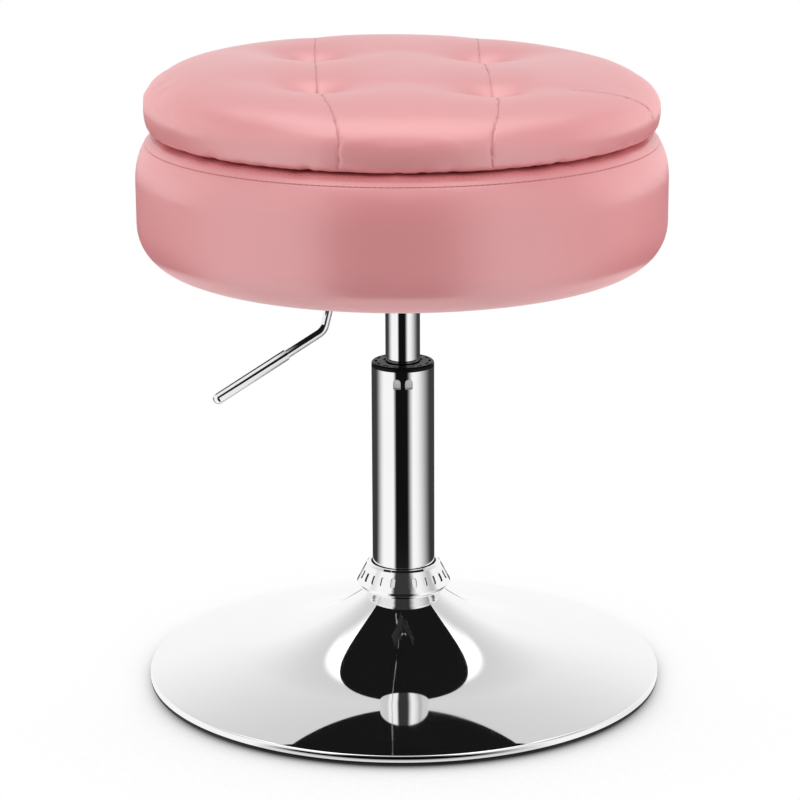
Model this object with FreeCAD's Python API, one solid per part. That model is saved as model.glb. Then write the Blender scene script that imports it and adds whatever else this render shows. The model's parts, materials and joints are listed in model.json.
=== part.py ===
"""Swivel storage stool: a tufted lift-off lid on a padded round storage drum, carried by a gas lift
in a chromed column on a trumpet base. Millimetres, +Z up, origin on the floor under the column."""
import FreeCAD, Part
import functools
import math
import os

from FreeCAD import Vector


def sine(degrees):
    """Sine of an angle in degrees."""
    return math.sin(math.radians(degrees))


def cosine(degrees):
    """Cosine of an angle in degrees."""
    return math.cos(math.radians(degrees))


# Base
base_d = 380.0             # across the chromed base
base_sheet = 1.2           # spun steel sheet
rim_lip_h = 4.9            # upright lip round the base
rim_round = 1.6            # rolled edge above the lip
dome_edge_deg = 13.5       # slope of the dome where it meets the rim
dome_ease_deg = 10.0       # slope where the dome turns into the flare
dome_w = 64.0              # width of the domed outer zone
flare_deg = 39.0           # slope where the wide flare tightens into the neck
neck_round = 0.5           # fold between the flare and the upright neck
neck_h = 8.0               # upright neck hidden in the collar
floor_ring_h = 2.5         # rubber under the rim
floor_ring_w = 12.0
floor_ring_edge = 0.8      # chamfer of the rubber at the floor
bottom_plate_t = 1.5
bottom_plate_up = 1.0      # spigot of the rubber ring, which carries the bottom plate
ballast_inset = 65.0       # from the rim in to the ballast
ballast_t = 8.0
socket_wall = 1.3          # sleeve welded inside the neck
sheet_gap = 0.1            # between sheet pieces pushed together

# Collar over the foot of the column
collar_h = 20.0
collar_mouth_w = 3.3       # width of the collar's top edge
collar_flare = 7.2         # growth of the radius from the top down to the foot
collar_round = 1.3         # rounded corners
collar_skirt_h = 3.2       # upright part above the foot
collar_lip_h = 1.6         # recessed lip under the foot
collar_lip_inset = 3.5
collar_slot_count = 24
collar_slot_w = 3.4
collar_slot_l = 7.4
collar_slot_deep = 0.9
collar_gap = 0.3           # collar to neck
collar_tube_gap = 1.2      # shadow gap round the column

# Column
column_d = 46.0
column_wall = 2.0
column_l = 224.6
column_foot_z = 12.0
column_taper = 0.8         # the foot of the tube shrinks by this radius in the socket
column_taper_h = 58.0
notch_d = 5.6              # width of the lanced notches that lock the bush
notch_l = 9.2              # length of the oval that a notch is part of
notch_below_top = 9.8
notch_turn_deg = 11.0
notch_deep = 1.1           # depth at the middle of the oval
notch_lean_deg = 12.0      # a notch gets deeper downwards
notch_flat = 2.9           # flat foot of a notch below its centre
bush_flange_t = 3.4
bush_l = 66.0
bush_edge = 0.9            # chamfer of the flange
bush_lip_w = 2.4           # raised lip round the cylinder
bush_groove_count = 14
bush_groove_w = 1.8
bush_groove_l = 5.6
bush_groove_deep = 1.0
bush_groove_in = 3.4       # from the flange's edge in to the grooves

# Gas lift
cylinder_d = 25.4
cylinder_wall = 1.8
cylinder_show = 40.0       # bare cylinder between the bush and the seat socket, seat down
run_clear = 0.05           # running clearance of bushes, pins and balls
lift_travel = 120.0
rod_d = 10.0
rod_tail_d = 8.0           # thinner tail through the bearing
rod_tail_out = 1.5         # tail below the clip
rod_groove = 1.0           # depth of the clip's groove
end_plate_t = 4.0
race_t = 2.5
race_gap = 3.0             # from the bearing out to the tube
race_land = 0.6            # depth of the ball tracks
ball_d = 5.0
ball_count = 10
cage_t = 1.6
cage_rim = 1.4             # cage beside the balls
bumper_wall = 6.0
bumper_h = 32.0
clip_t = 2.0
clip_w = 4.0
clip_room = 2.0            # hole in the bottom plate round the clip
guide_l = 18.0             # rod guide in the foot of the cylinder
seal_l = 4.0
piston_l = 12.0
piston_clear = 0.1
piston_ring_h = 2.0
piston_ring_w = 1.4
rest_gap = 0.3             # faces that only rest on each other

# Seat plate, lever and release
plate_side = 140.0
plate_t = 2.5
plate_corner = 14.0
plate_flange_h = 10.0
bolt_spacing = 104.0
bolt_d = 6.0
bolt_head_d = 11.0
bolt_head_h = 4.0
bolt_key_d = 5.0
bolt_key_deep = 2.4
bolt_clear = 0.5
washer_d = 16.0
washer_t = 1.5
tee_nut_d = 18.0
tee_nut_wall = 1.0
tee_nut_t = 1.2
tee_nut_skin = 2.0         # board left under the nut's barrel
seat_socket_wall = 4.3
seat_socket_l = 20.0
seat_socket_taper = 0.5    # the bore and the cylinder's head shrink by this radius
channel_up = 12.0          # from the socket's foot up to the web of the lever channel
channel_h = 30.0
channel_side_gap = 2.0     # socket to the walls of the channel
channel_t = 2.5
channel_front = 36.0       # channel past the axis on the lever's side
channel_back = 26.0
lever_plan_deg = 35.0      # lever's plan angle, from the left towards the front
lever_d = 6.0
lever_below_plate = 11.0
lever_pivot_r = 24.0
lever_finger = 6.0         # inner end past the release pin
lever_knee_r = 57.2        # first bend, down
lever_elbow_r = 69.0       # second bend, outwards
lever_elbow_drop = 38.5
lever_tip_r = 159.0
lever_tip_drop = 74.8
lever_bend_r = 9.0
lever_eye_d = 13.0
lever_pin_d = 4.0
lever_pin_head = 1.4
spacer_wall = 2.0
sleeve_wall = 1.0
sleeve_l = 62.0
sleeve_dome = 2.8
pin_d = 5.0                # release pin
pin_out = 7.9              # release pin above the cylinder's head
pin_gap = 0.1              # release pin under the lever's finger
pin_in = 14.0
pin_room = 4.0             # free depth under the pin
valve_wall = 3.0
valve_l = 22.0

# Storage drum
drum_d = 384.0
drum_lean = 1.5            # the side comes in by this much under the top corner
drum_roll = 10.0           # padded roll below the floor board
drum_roll_w = 46.0
drum_corner = 34.0         # lower corner of the padding
drum_top_corner = 12.0
drum_pad_t = 22.8
drum_floor_t = 12.0
drum_wall_t = 9.0
drum_wall_h = 72.0
wadding_t = 1.8            # padding over the top of the wall
cover_t = 1.2              # upholstery skin
stitch_drop = 6.0          # stitch line below the top of the drum
band_fold_h = 16.0         # top band turned down inside the wall
lining_t = 0.8
floor_liner_t = 2.5
dust_cover_t = 0.8
dust_cover_in = 34.5       # from the drum's side in to the cloth's edge

# Lid
lid_inset = 6.7            # the lid is smaller than the drum all round
lid_h = 53.2
lid_board_t = 12.0
lid_board_inset = 15.3
lid_cover_t = 1.5
lid_locator_t = 9.0
lid_clear = 1.8            # locating board in the mouth of the drum
lid_wrap_gap = 3.0         # from the locating board out to the turned-under cover
lid_crown_deg = 1.6        # slope where the flat crown ends
lid_shoulder_r = 150.0
lid_shoulder_deg = 25.0
lid_brow_r = 35.0
lid_brow_deg = 50.0
lid_edge_r = 17.0
lid_tuck_r = 40.0          # sides drawn in below the widest line
lid_tuck_deg = 10.0
lid_foot_r = 6.0
lid_turn_deg = 2.0         # the lid sits turned a little on the drum
tuft_spacing = 122.0
tuft_deep = 23.0
tuft_w = 72.0              # across the funnel of a tuft
tuft_core_d = 3.0
tuft_rim_up = 1.4          # rim of the funnel above the crown
tuft_bulge_out = 0.34      # swell of the funnel's flank, as a share of its width
tuft_bulge_up = 0.62       # and of its depth
seam_deep = 4.5            # sewn channel at mid-span
seam_flank_deg = 27.0
seam_brow_deep = 3.0       # sewn channel on the lid's brow
seam_brow_in = 30.0        # from the lid's edge in to that place
seam_runout = 5.0          # the channel runs out of the side by this much
tie_d = 2.4
toggle_d = 14.0
toggle_t = 3.0
toggle_room = 1.0

# Radii worked out from the driving sizes
base_r = base_d / 2
lip_in_r = base_r - base_sheet - sheet_gap
column_r = column_d / 2
column_bore_r = column_r - column_wall
socket_out_r = column_r + run_clear + socket_wall
neck_r = socket_out_r + sheet_gap + base_sheet
dome_r = dome_w / (sine(dome_edge_deg) - sine(dome_ease_deg))
flare_w = base_r - rim_round * (1 - sine(dome_edge_deg)) - dome_w - neck_r
flare_r = (flare_w - neck_round * (1 - sine(flare_deg))) / (sine(flare_deg) - sine(dome_ease_deg))
cylinder_r = cylinder_d / 2
cylinder_bore_r = cylinder_r - cylinder_wall
rod_r = rod_d / 2
tail_r = rod_tail_d / 2
race_r = column_bore_r - column_taper - race_gap
ball_r = ball_d / 2
ball_circle_r = (tail_r + race_r) / 2
pin_r = pin_d / 2
valve_r = pin_r + valve_wall
seat_socket_r = cylinder_r + seat_socket_wall
channel_in = 2 * (seat_socket_r + channel_side_gap)
channel_out = channel_in + 2 * channel_t
sleeve_r = lever_d / 2 + sleeve_wall
tee_nut_r = bolt_d / 2 + tee_nut_wall
drum_r = drum_d / 2
roll_in_r = drum_r - drum_roll_w
drum_board_r = drum_r - cover_t - drum_pad_t
drum_wall_in_r = drum_board_r - drum_wall_t
drum_mouth_r = drum_wall_in_r - cover_t
lid_r = drum_r - lid_inset
lid_board_r = lid_r - lid_board_inset
lid_locator_r = drum_mouth_r - lid_clear
tuft_half = tuft_spacing / 2

# Heights worked out from the floor up
rim_z = floor_ring_h + rim_lip_h
bottom_plate_z = floor_ring_h + bottom_plate_up
base_floor_z = bottom_plate_z + bottom_plate_t
dome_foot_z = rim_z - rim_round * (1 - cosine(dome_edge_deg))
dome_top_z = dome_foot_z + dome_r * (cosine(dome_ease_deg) - cosine(dome_edge_deg))
flare_top_z = dome_top_z + flare_r * (cosine(dome_ease_deg) - cosine(flare_deg))
neck_z = flare_top_z + neck_round * cosine(flare_deg)
neck_top_z = neck_z + neck_h
column_top_z = column_foot_z + column_l
clip_z = column_foot_z - rest_gap - clip_t
lower_race_z = column_foot_z + end_plate_t
ball_z = lower_race_z + race_t - race_land + ball_r
upper_race_z = ball_z + ball_r - race_land
shoulder_z = upper_race_z + race_t
cylinder_foot_z = shoulder_z + bumper_h + rest_gap
piston_z = cylinder_foot_z + guide_l + seal_l + lift_travel + rest_gap
bush_top_z = column_top_z + bush_flange_t
seat_socket_z = bush_top_z + cylinder_show
web_z = seat_socket_z + channel_up
plate_z = web_z + channel_h
lever_z = plate_z - lever_below_plate
head_z = lever_z - lever_d / 2 - pin_gap - pin_out
seat_socket_top_z = min(seat_socket_z + seat_socket_l, head_z)
board_z = plate_z + plate_t
drum_floor_z = board_z + drum_floor_t
wall_top_z = drum_floor_z + drum_wall_h
drum_top_z = wall_top_z + wadding_t + cover_t
lid_foot_z = drum_top_z + rest_gap
lid_top_z = lid_foot_z + lid_h
lid_board_z = lid_foot_z + lid_cover_t
locator_z = lid_board_z - lid_locator_t

MEET = 1e-6                # points closer than this meet
ORIGIN = Vector(0, 0, 0)
UP = Vector(0, 0, 1)
SIDEWAYS = Vector(0, 1, 0)


class Outline:
    """A profile in the plane of radius and height, drawn by runs and tangent arcs from a start and a heading.
    With an inset, it is the line that lies that far to the right of the drawn one."""

    def __init__(self, r, z, heading, inset=0.0):
        self.inset = inset
        self.heading = math.radians(heading)
        self.spot = Vector(r + inset * math.sin(self.heading), 0, z - inset * math.cos(self.heading))
        self.start = self.spot
        self.edges = []

    def to(self, r, z):
        """Straight to a point."""
        end = Vector(r, 0, z)
        if (end - self.spot).Length > MEET:
            self.edges.append(Part.makeLine(self.spot, end))
        self.spot = end
        return self

    def run(self, length):
        """Straight on."""
        end = self.spot + Vector(math.cos(self.heading), 0, math.sin(self.heading)) * length
        return self.to(end.x, end.z)

    def bend(self, radius, heading):
        """Tangent arc to a new heading in degrees. The inset tightens right turns and widens left turns."""
        target = math.radians(heading)
        side = 1 if target > self.heading else -1
        reach = side * (radius + side * self.inset)

        def spoke(angle):
            return Vector(math.sin(angle), 0, -math.cos(angle)) * reach

        centre = self.spot - spoke(self.heading)
        end = centre + spoke(target)
        self.edges.append(Part.Arc(self.spot, centre + spoke((self.heading + target) / 2), end).toShape())
        self.spot = end
        self.heading = target
        return self


def turned_edges(edges):
    """Body of revolution about the axis, inside a closed loop of edges."""
    return Part.Face(Part.Wire(Part.__sortEdges__(edges))).revolve(ORIGIN, UP, 360)


def bridge(start, end):
    """Straight edge between two points, or none where they meet."""
    return [Part.makeLine(start, end)] if (end - start).Length > MEET else []


def turned(*outlines):
    """Body of revolution inside outlines laid end to end, with straight lines where their ends are apart."""
    edges = []
    for before, outline in zip((outlines[-1],) + outlines, outlines):
        edges += bridge(before.spot, outline.start) + outline.edges
    return turned_edges(edges)


def turned_skin(outer, inner):
    """Sheet of revolution between an outline and its inset twin, which both run the same way."""
    ends = bridge(outer.start, inner.start) + bridge(outer.spot, inner.spot)
    return turned_edges(outer.edges + inner.edges + ends)


def corners_outline(*corners):
    """Outline of straight runs through points of radius and height."""
    outline = Outline(*corners[0], 0)
    for corner in corners[1:]:
        outline.to(*corner)
    return outline


def turned_corners(*corners):
    """Body of revolution with straight sides."""
    return turned(corners_outline(*corners))


def disc(r, z, height):
    """Plain disc on the axis."""
    return Part.makeCylinder(r, height, Vector(0, 0, z))


def ring(r_in, r_out, z, height):
    """Plain ring on the axis."""
    return disc(r_out, z, height).cut(disc(r_in, z, height))


def cross_bar(r, length, x, z):
    """Round bar lying across the lever's plane, centred on it."""
    return Part.makeCylinder(r, length, Vector(x, -length / 2, z), SIDEWAYS)


def plate_box(side, corner, z, height):
    """Square block with round upright edges, centred on the axis."""
    block = Part.makeBox(side, side, height, Vector(-side / 2, -side / 2, z))
    uprights = [e for e in block.Edges if abs(e.tangentAt(e.FirstParameter).z) > 0.9]
    return block.makeFillet(corner, uprights)


def around(shape, count, start_deg=0.0):
    """Copies of a shape spaced evenly about the axis."""
    copies = []
    for i in range(count):
        copy = shape.copy()
        copy.rotate(ORIGIN, UP, start_deg + 360.0 * i / count)
        copies.append(copy)
    return copies


def at_corners(shape, spacing):
    """Four copies at the corners of a square."""
    copies = []
    for x in (-spacing / 2, spacing / 2):
        for y in (-spacing / 2, spacing / 2):
            copy = shape.copy()
            copy.translate(Vector(x, y, 0))
            copies.append(copy)
    return copies


def to_lever(shape):
    """Turns a piece of the mechanism from the X axis to the lever's plan angle."""
    shape.rotate(ORIGIN, UP, lever_plan_deg)
    return shape


def to_lid(shape):
    """Turns a piece of the lid as the lid sits on the drum."""
    shape.rotate(ORIGIN, UP, lid_turn_deg)
    return shape


def oval_peg(width, length, depth):
    """Oval that stands out along X from the origin, with its length upright."""
    r = width / 2
    h = length / 2 - r
    a, b, c, d = Vector(0, -r, -h), Vector(0, -r, h), Vector(0, r, h), Vector(0, r, -h)
    top = Part.Arc(b, Vector(0, 0, h + r), c).toShape()
    foot = Part.Arc(d, Vector(0, 0, -h - r), a).toShape()
    loop = Part.Wire([Part.makeLine(a, b), top, Part.makeLine(c, d), foot])
    return Part.Face(loop).extrude(Vector(depth, 0, 0))


# Base

def base_outline(inset):
    """Trumpet from the neck, down the flare and over the dome to the foot of the rim."""
    outline = Outline(neck_r, neck_top_z, -90, inset)
    outline.run(neck_h).bend(neck_round, -flare_deg).bend(flare_r, -dome_ease_deg)
    outline.bend(dome_r, -dome_edge_deg).bend(rim_round, -90)
    return outline.to(outline.spot.x, floor_ring_h)


def base_shell():
    """Chromed trumpet spun from sheet."""
    return turned_skin(base_outline(0), base_outline(base_sheet))


def floor_ring():
    """Rubber ring under the rim, with a spigot inside the lip."""
    in_r = base_r - floor_ring_w
    return turned_corners((in_r, 0), (base_r - floor_ring_edge, 0), (base_r, floor_ring_edge),
                          (base_r, floor_ring_h), (lip_in_r, floor_ring_h), (lip_in_r, bottom_plate_z),
                          (in_r, bottom_plate_z))


def base_bottom_plate():
    """Black sheet that closes the base and rests on the rubber ring, open under the lift's clip."""
    return ring(tail_r + clip_w + clip_room, lip_in_r - rest_gap, bottom_plate_z, bottom_plate_t)


def base_ballast():
    """Cast-iron weight on the bottom plate, round the socket."""
    return ring(socket_out_r + rest_gap, base_r - ballast_inset, base_floor_z, ballast_t)


def column_foot(clearance):
    """Lower and upper end of the tapered seat between the column and its socket."""
    return ((column_r - column_taper + clearance, column_foot_z),
            (column_r + clearance, column_foot_z + column_taper_h))


def column_socket():
    """Sleeve welded in the base: its tapered bore holds the foot of the column."""
    low, high = column_foot(run_clear)
    return turned_corners((socket_out_r, base_floor_z), (low[0], base_floor_z), low, high,
                          (high[0], neck_top_z), (socket_out_r, neck_top_z))


def collar_ring():
    """Bright trim ring over the joint of column and base, with oval recesses round its cone."""
    foot = neck_z + collar_gap
    top = foot + collar_h
    in_r = neck_r + collar_gap
    mouth_r = column_r + collar_tube_gap
    shelf = neck_top_z + collar_gap
    top_r = mouth_r + collar_mouth_w
    wide_r = top_r + collar_flare
    lip_r = wide_r - collar_lip_inset
    step = foot + collar_lip_h
    cone_z = step + collar_skirt_h
    body = turned_corners((in_r, foot), (lip_r, foot), (lip_r, step), (wide_r - collar_round, step),
                          (wide_r, step + collar_round), (wide_r, cone_z), (top_r, top - collar_round),
                          (top_r - collar_round, top), (mouth_r, top), (mouth_r, shelf), (in_r, shelf))
    rise = top - collar_round - cone_z
    slot = oval_peg(collar_slot_w, collar_slot_l, 2 * collar_slot_deep)
    slot.translate(Vector(-collar_slot_deep, 0, 0))
    slot.rotate(ORIGIN, SIDEWAYS, -math.degrees(math.atan2(collar_flare, rise)))
    slot.translate(Vector((wide_r + top_r) / 2, 0, cone_z + rise / 2))
    return body.cut(around(slot, collar_slot_count, 90))


# Column

def column_tube():
    """Chromed tube with a tapered foot and, at its front, two lanced notches that lock the bush."""
    low, high = column_foot(0)
    in_low, in_high = column_foot(-column_wall)
    body = turned_corners(in_low, low, high, (column_r, column_top_z), (column_bore_r, column_top_z), in_high)
    scoop = oval_peg(notch_d, notch_l, 2 * column_wall)
    scoop.translate(Vector(-notch_deep, 0, 0))
    scoop.rotate(ORIGIN, SIDEWAYS, notch_lean_deg)
    shear = Part.makeBox(2 * notch_d, 2 * notch_d, notch_d, Vector(-notch_d, -notch_d, -notch_flat - notch_d))
    scoop = scoop.cut(shear)
    scoop.translate(Vector(column_r, 0, column_top_z - notch_below_top))
    notches = []
    for side in (-1, 1):
        notch = scoop.copy()
        notch.rotate(ORIGIN, UP, -90 + side * notch_turn_deg)
        notches.append(notch)
    return body.cut(notches)


def guide_bush():
    """Black nylon bush that guides the cylinder, with a flange on the tube and a ring of short grooves."""
    fit_r = column_bore_r - run_clear
    bore_r = cylinder_r + run_clear
    foot = column_top_z - bush_l
    body = turned_corners((bore_r, foot), (fit_r, foot), (fit_r, column_top_z), (column_r, column_top_z),
                          (column_r, bush_top_z - bush_edge), (column_r - bush_edge, bush_top_z),
                          (bore_r + bush_lip_w, bush_top_z), (bore_r + bush_edge, bush_top_z - bush_edge),
                          (bore_r, bush_top_z - bush_edge))
    groove = oval_peg(bush_groove_w, bush_groove_l, bush_groove_deep)
    groove.rotate(ORIGIN, Vector(1, 0, 0), 90)
    groove.rotate(ORIGIN, SIDEWAYS, -90)
    groove.translate(Vector(column_r - bush_groove_in, 0, bush_top_z - bush_groove_deep))
    return body.cut(around(groove, bush_groove_count))


def tube_end_plate():
    """Plate swaged into the foot of the column, which carries the thrust bearing."""
    r = column_bore_r - column_taper - run_clear
    return ring(tail_r + 2 * run_clear, r, column_foot_z, end_plate_t)


# Bearing and gas lift

def race(z):
    """Bearing washer with a track for the balls."""
    track = Part.makeTorus(ball_circle_r, ball_r + run_clear, Vector(0, 0, ball_z))
    return ring(tail_r + 2 * run_clear, race_r, z, race_t).cut(track)


def lower_race():
    """Washer that stays still."""
    return race(lower_race_z)


def upper_race():
    """Washer that turns with the rod."""
    return race(upper_race_z)


def bearing_balls():
    """Balls of the thrust bearing."""
    return Part.makeCompound(around(Part.makeSphere(ball_r, Vector(ball_circle_r, 0, ball_z)), ball_count))


def ball_cage():
    """Ring with a pocket for each ball."""
    half = ball_r + cage_rim
    body = ring(ball_circle_r - half, ball_circle_r + half, ball_z - cage_t / 2, cage_t)
    pocket = Part.makeSphere(ball_r + run_clear, Vector(ball_circle_r, 0, ball_z))
    return body.cut(around(pocket, ball_count))


def piston_rod():
    """Rod of the gas spring: it stands on the bearing by a shoulder, and its tail takes the clip below."""
    foot = clip_z - rod_tail_out
    groove_r = tail_r - rod_groove
    return turned_corners((0, foot), (tail_r, foot), (tail_r, clip_z), (groove_r, clip_z),
                          (groove_r, clip_z + clip_t), (tail_r, clip_z + clip_t), (tail_r, shoulder_z),
                          (rod_r, shoulder_z), (rod_r, piston_z), (0, piston_z))


def rod_clip():
    """Retaining washer in the groove of the rod's tail."""
    return ring(tail_r - rod_groove + run_clear, tail_r + clip_w, clip_z + run_clear, clip_t - 2 * run_clear)


def rod_bumper():
    """Rubber buffer on the bearing, on which the cylinder lands."""
    return ring(rod_r + 2 * run_clear, rod_r + bumper_wall, shoulder_z, bumper_h)


def piston():
    """Piston on the rod, with a groove for its ring."""
    r = cylinder_bore_r - piston_clear
    groove_r = r - piston_ring_w
    low = piston_z + (piston_l - piston_ring_h) / 2
    high = low + piston_ring_h
    top = piston_z + piston_l
    return turned_corners((0, piston_z), (r, piston_z), (r, low), (groove_r, low), (groove_r, high),
                          (r, high), (r, top), (0, top))


def piston_ring():
    """Sealing ring in the piston's groove."""
    in_r = cylinder_bore_r - piston_clear - piston_ring_w
    z = piston_z + (piston_l - piston_ring_h) / 2
    return ring(in_r, cylinder_bore_r - run_clear, z, piston_ring_h)


def head_r(z):
    """Outside radius of the cylinder's tapered head at a height."""
    return cylinder_r - seat_socket_taper * (z - seat_socket_z) / (head_z - seat_socket_z)


def gas_cylinder():
    """Chromed pressure tube with a tapered head that wedges in the seat's socket."""
    roof = head_z - valve_l
    return turned_corners((cylinder_bore_r, cylinder_foot_z), (cylinder_r, cylinder_foot_z),
                          (cylinder_r, seat_socket_z), (head_r(head_z), head_z), (valve_r, head_z),
                          (valve_r, roof), (cylinder_bore_r, roof))


def valve_body():
    """Plug in the cylinder's head, with a blind hole for the release pin."""
    hole_r = pin_r + run_clear
    foot = head_z - valve_l
    hole_z = head_z - pin_in - pin_room
    return turned_corners((0, foot), (valve_r, foot), (valve_r, head_z), (hole_r, head_z),
                          (hole_r, hole_z), (0, hole_z))


def release_pin():
    """Domed pin that the lever presses into the head of the gas spring."""
    foot = head_z - pin_in
    outline = Outline(0, foot, 90).to(pin_r, foot).to(pin_r, head_z + pin_out - pin_r)
    return turned(outline.bend(pin_r, 180))


def cylinder_guide():
    """Bush in the foot of the cylinder that guides the rod."""
    return ring(rod_r + run_clear, cylinder_bore_r - run_clear, cylinder_foot_z, guide_l)


def cylinder_seal():
    """Rubber seal above the rod guide."""
    return ring(rod_r + run_clear, cylinder_bore_r - run_clear, cylinder_foot_z + guide_l, seal_l)


# Seat plate and lever

def seat_plate():
    """Pressed steel plate with turned-down edges, bolted under the drum."""
    foot = board_z - plate_flange_h
    body = plate_box(plate_side, plate_corner, foot, plate_flange_h)
    hollow = plate_box(plate_side - 2 * plate_t, plate_corner - plate_t, foot, plate_flange_h - plate_t)
    hole = disc(bolt_d / 2 + bolt_clear, plate_z, plate_t)
    return to_lever(body.cut([hollow] + at_corners(hole, bolt_spacing)))


def lever_channel():
    """U-shaped bracket welded under the plate: the lever runs inside it, over the release pin."""
    length = channel_front + channel_back
    body = Part.makeBox(length, channel_out, channel_h, Vector(-channel_front, -channel_out / 2, web_z))
    inside = Part.makeBox(length, channel_in, channel_h,
                          Vector(-channel_front, -channel_in / 2, web_z + channel_t))
    bore = disc(seat_socket_r, web_z, channel_t)
    hole = cross_bar(lever_pin_d / 2, channel_out, -lever_pivot_r, lever_z)
    return to_lever(body.cut([inside, bore, hole]))


def plate_socket():
    """Tapered sleeve welded in the channel's web, which wedges on the head of the cylinder."""
    low_r = cylinder_r + run_clear
    high_r = head_r(seat_socket_top_z) + run_clear
    return turned_corners((low_r, seat_socket_z), (seat_socket_r, seat_socket_z),
                          (seat_socket_r, seat_socket_top_z), (high_r, seat_socket_top_z))


def lever_pivot_pin():
    """Riveted pin across the channel."""
    shank = cross_bar(lever_pin_d / 2, channel_out, -lever_pivot_r, lever_z)
    heads = cross_bar(lever_pin_d, channel_out + 2 * lever_pin_head, -lever_pivot_r, lever_z)
    between = cross_bar(lever_pin_d, channel_out, -lever_pivot_r, lever_z)
    return to_lever(heads.cut(between).fuse(shank).removeSplitter())


def lever_spacers():
    """Two nylon bushes that keep the lever's eye in the middle of the channel."""
    out_r = lever_pin_d / 2 + spacer_wall
    bush = cross_bar(out_r, channel_in, -lever_pivot_r, lever_z)
    bore = cross_bar(lever_pin_d / 2 + run_clear, channel_in, -lever_pivot_r, lever_z)
    middle = cross_bar(out_r, lever_d + 2 * rest_gap, -lever_pivot_r, lever_z)
    return to_lever(bush.cut([bore, middle]))


def lever_corners():
    """Corners of the lever's centre line from its finger to its tip, in the lever's plane."""
    return [Vector(lever_finger, 0, lever_z), Vector(-lever_knee_r, 0, lever_z),
            Vector(-lever_elbow_r, 0, lever_z - lever_elbow_drop),
            Vector(-lever_tip_r, 0, lever_z - lever_tip_drop)]


def lever_path():
    """Centre line of the lever, with its two bends."""
    corners = lever_corners()
    edges = []
    spot = corners[0]
    for before, corner, after in zip(corners, corners[1:], corners[2:]):
        back = (before - corner).normalize()
        on = (after - corner).normalize()
        half = back.getAngle(on) / 2
        trim = lever_bend_r / math.tan(half)
        middle = corner + (back + on).normalize() * (lever_bend_r / math.sin(half) - lever_bend_r)
        edges.append(Part.makeLine(spot, corner + back * trim))
        edges.append(Part.Arc(corner + back * trim, middle, corner + on * trim).toShape())
        spot = corner + on * trim
    edges.append(Part.makeLine(spot, corners[-1]))
    return Part.Wire(edges)


def lever_rod():
    """Chromed rod with two bends and an eye for the pivot pin."""
    section = Part.Wire([Part.makeCircle(lever_d / 2, lever_corners()[0], Vector(-1, 0, 0))])
    rod = lever_path().makePipeShell([section], True, False)
    eye = cross_bar(lever_eye_d / 2, lever_d, -lever_pivot_r, lever_z)
    hole = cross_bar(lever_pin_d / 2 + run_clear, lever_d, -lever_pivot_r, lever_z)
    return to_lever(rod.fuse(eye).cut(hole))


def lever_sleeve():
    """Chromed grip sleeve with a domed end, pushed over the lever's tip."""
    rod_end = lever_d / 2
    dome_r = (sleeve_r ** 2 + sleeve_dome ** 2) / (2 * sleeve_dome)
    outline = Outline(0, sleeve_l, 180 - math.degrees(math.asin(sleeve_r / dome_r)))
    outline.to(rod_end, sleeve_l).to(rod_end, 0).to(sleeve_r, 0).to(sleeve_r, sleeve_l).bend(dome_r, 180)
    sleeve = turned(outline)
    *_, elbow, tip = lever_corners()
    along = (tip - elbow).normalize()
    sleeve.Placement = FreeCAD.Placement(tip - along * sleeve_l, FreeCAD.Rotation(UP, along))
    return to_lever(sleeve)


def plate_bolts():
    """Four bolts up through the plate into the floor board."""
    shank_z = plate_z - washer_t
    bolt_z = shank_z - bolt_head_h
    head = disc(bolt_head_d / 2, bolt_z, bolt_head_h).cut(disc(bolt_key_d / 2, bolt_z, bolt_key_deep))
    shank = disc(bolt_d / 2, shank_z, drum_floor_z - shank_z)
    return to_lever(Part.makeCompound(at_corners(head.fuse(shank).removeSplitter(), bolt_spacing)))


def plate_washers():
    """Washers under the bolt heads."""
    washer = ring(bolt_d / 2 + bolt_clear / 2, washer_d / 2, plate_z - washer_t, washer_t)
    return to_lever(Part.makeCompound(at_corners(washer, bolt_spacing)))


def tee_nut_solid():
    """Barrel and flange of a tee nut, let into the top of the floor board."""
    barrel = disc(tee_nut_r, board_z + tee_nut_skin, drum_floor_t - tee_nut_skin)
    return barrel.fuse(disc(tee_nut_d / 2, drum_floor_z - tee_nut_t, tee_nut_t)).removeSplitter()


def tee_nuts():
    """Nuts pressed into the floor board from inside the drum."""
    nut = tee_nut_solid().cut(disc(bolt_d / 2, board_z, drum_floor_t))
    return to_lever(Part.makeCompound(at_corners(nut, bolt_spacing)))


# Storage drum

def drum_floor():
    """Plywood floor board with holes for the tee nuts and bolts."""
    hole = tee_nut_solid().fuse(disc(bolt_d / 2 + bolt_clear, board_z, tee_nut_skin)).removeSplitter()
    holes = [to_lever(h) for h in at_corners(hole, bolt_spacing)]
    return disc(drum_board_r, board_z, drum_floor_t).cut(holes)


def drum_wall():
    """Bent plywood wall on the floor board."""
    return ring(drum_wall_in_r, drum_board_r, drum_floor_z, drum_wall_h)


def side_outline(inset):
    """Outside of the drum from under the floor board, round the padded roll and up to the stitch line."""
    stitch_deg = 90 - math.degrees(math.acos(1 - stitch_drop / drum_top_corner))
    outline = Outline(roll_in_r, board_z, -90, -inset)
    outline.bend(drum_roll, 0).to(drum_r - drum_corner, outline.spot.z).bend(drum_corner, 90)
    outline.to(drum_r - drum_lean - inset, drum_top_z - drum_top_corner)
    return outline.bend(drum_top_corner, 90 + stitch_deg)


def top_outline(inset):
    """Top of the drum from the stitch line over the wall to its inner edge."""
    seam = side_outline(inset)
    outline = Outline(seam.spot.x, seam.spot.z, math.degrees(seam.heading))
    outline.inset = -inset
    outline.bend(drum_top_corner, 180)
    corner = wadding_t + cover_t
    return outline.to(drum_mouth_r + corner, outline.spot.z).bend(corner, 270)


def drum_side_cover():
    """Upholstery round the side and under the roll, up to the stitch line."""
    return turned_skin(side_outline(0), side_outline(cover_t))


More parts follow.
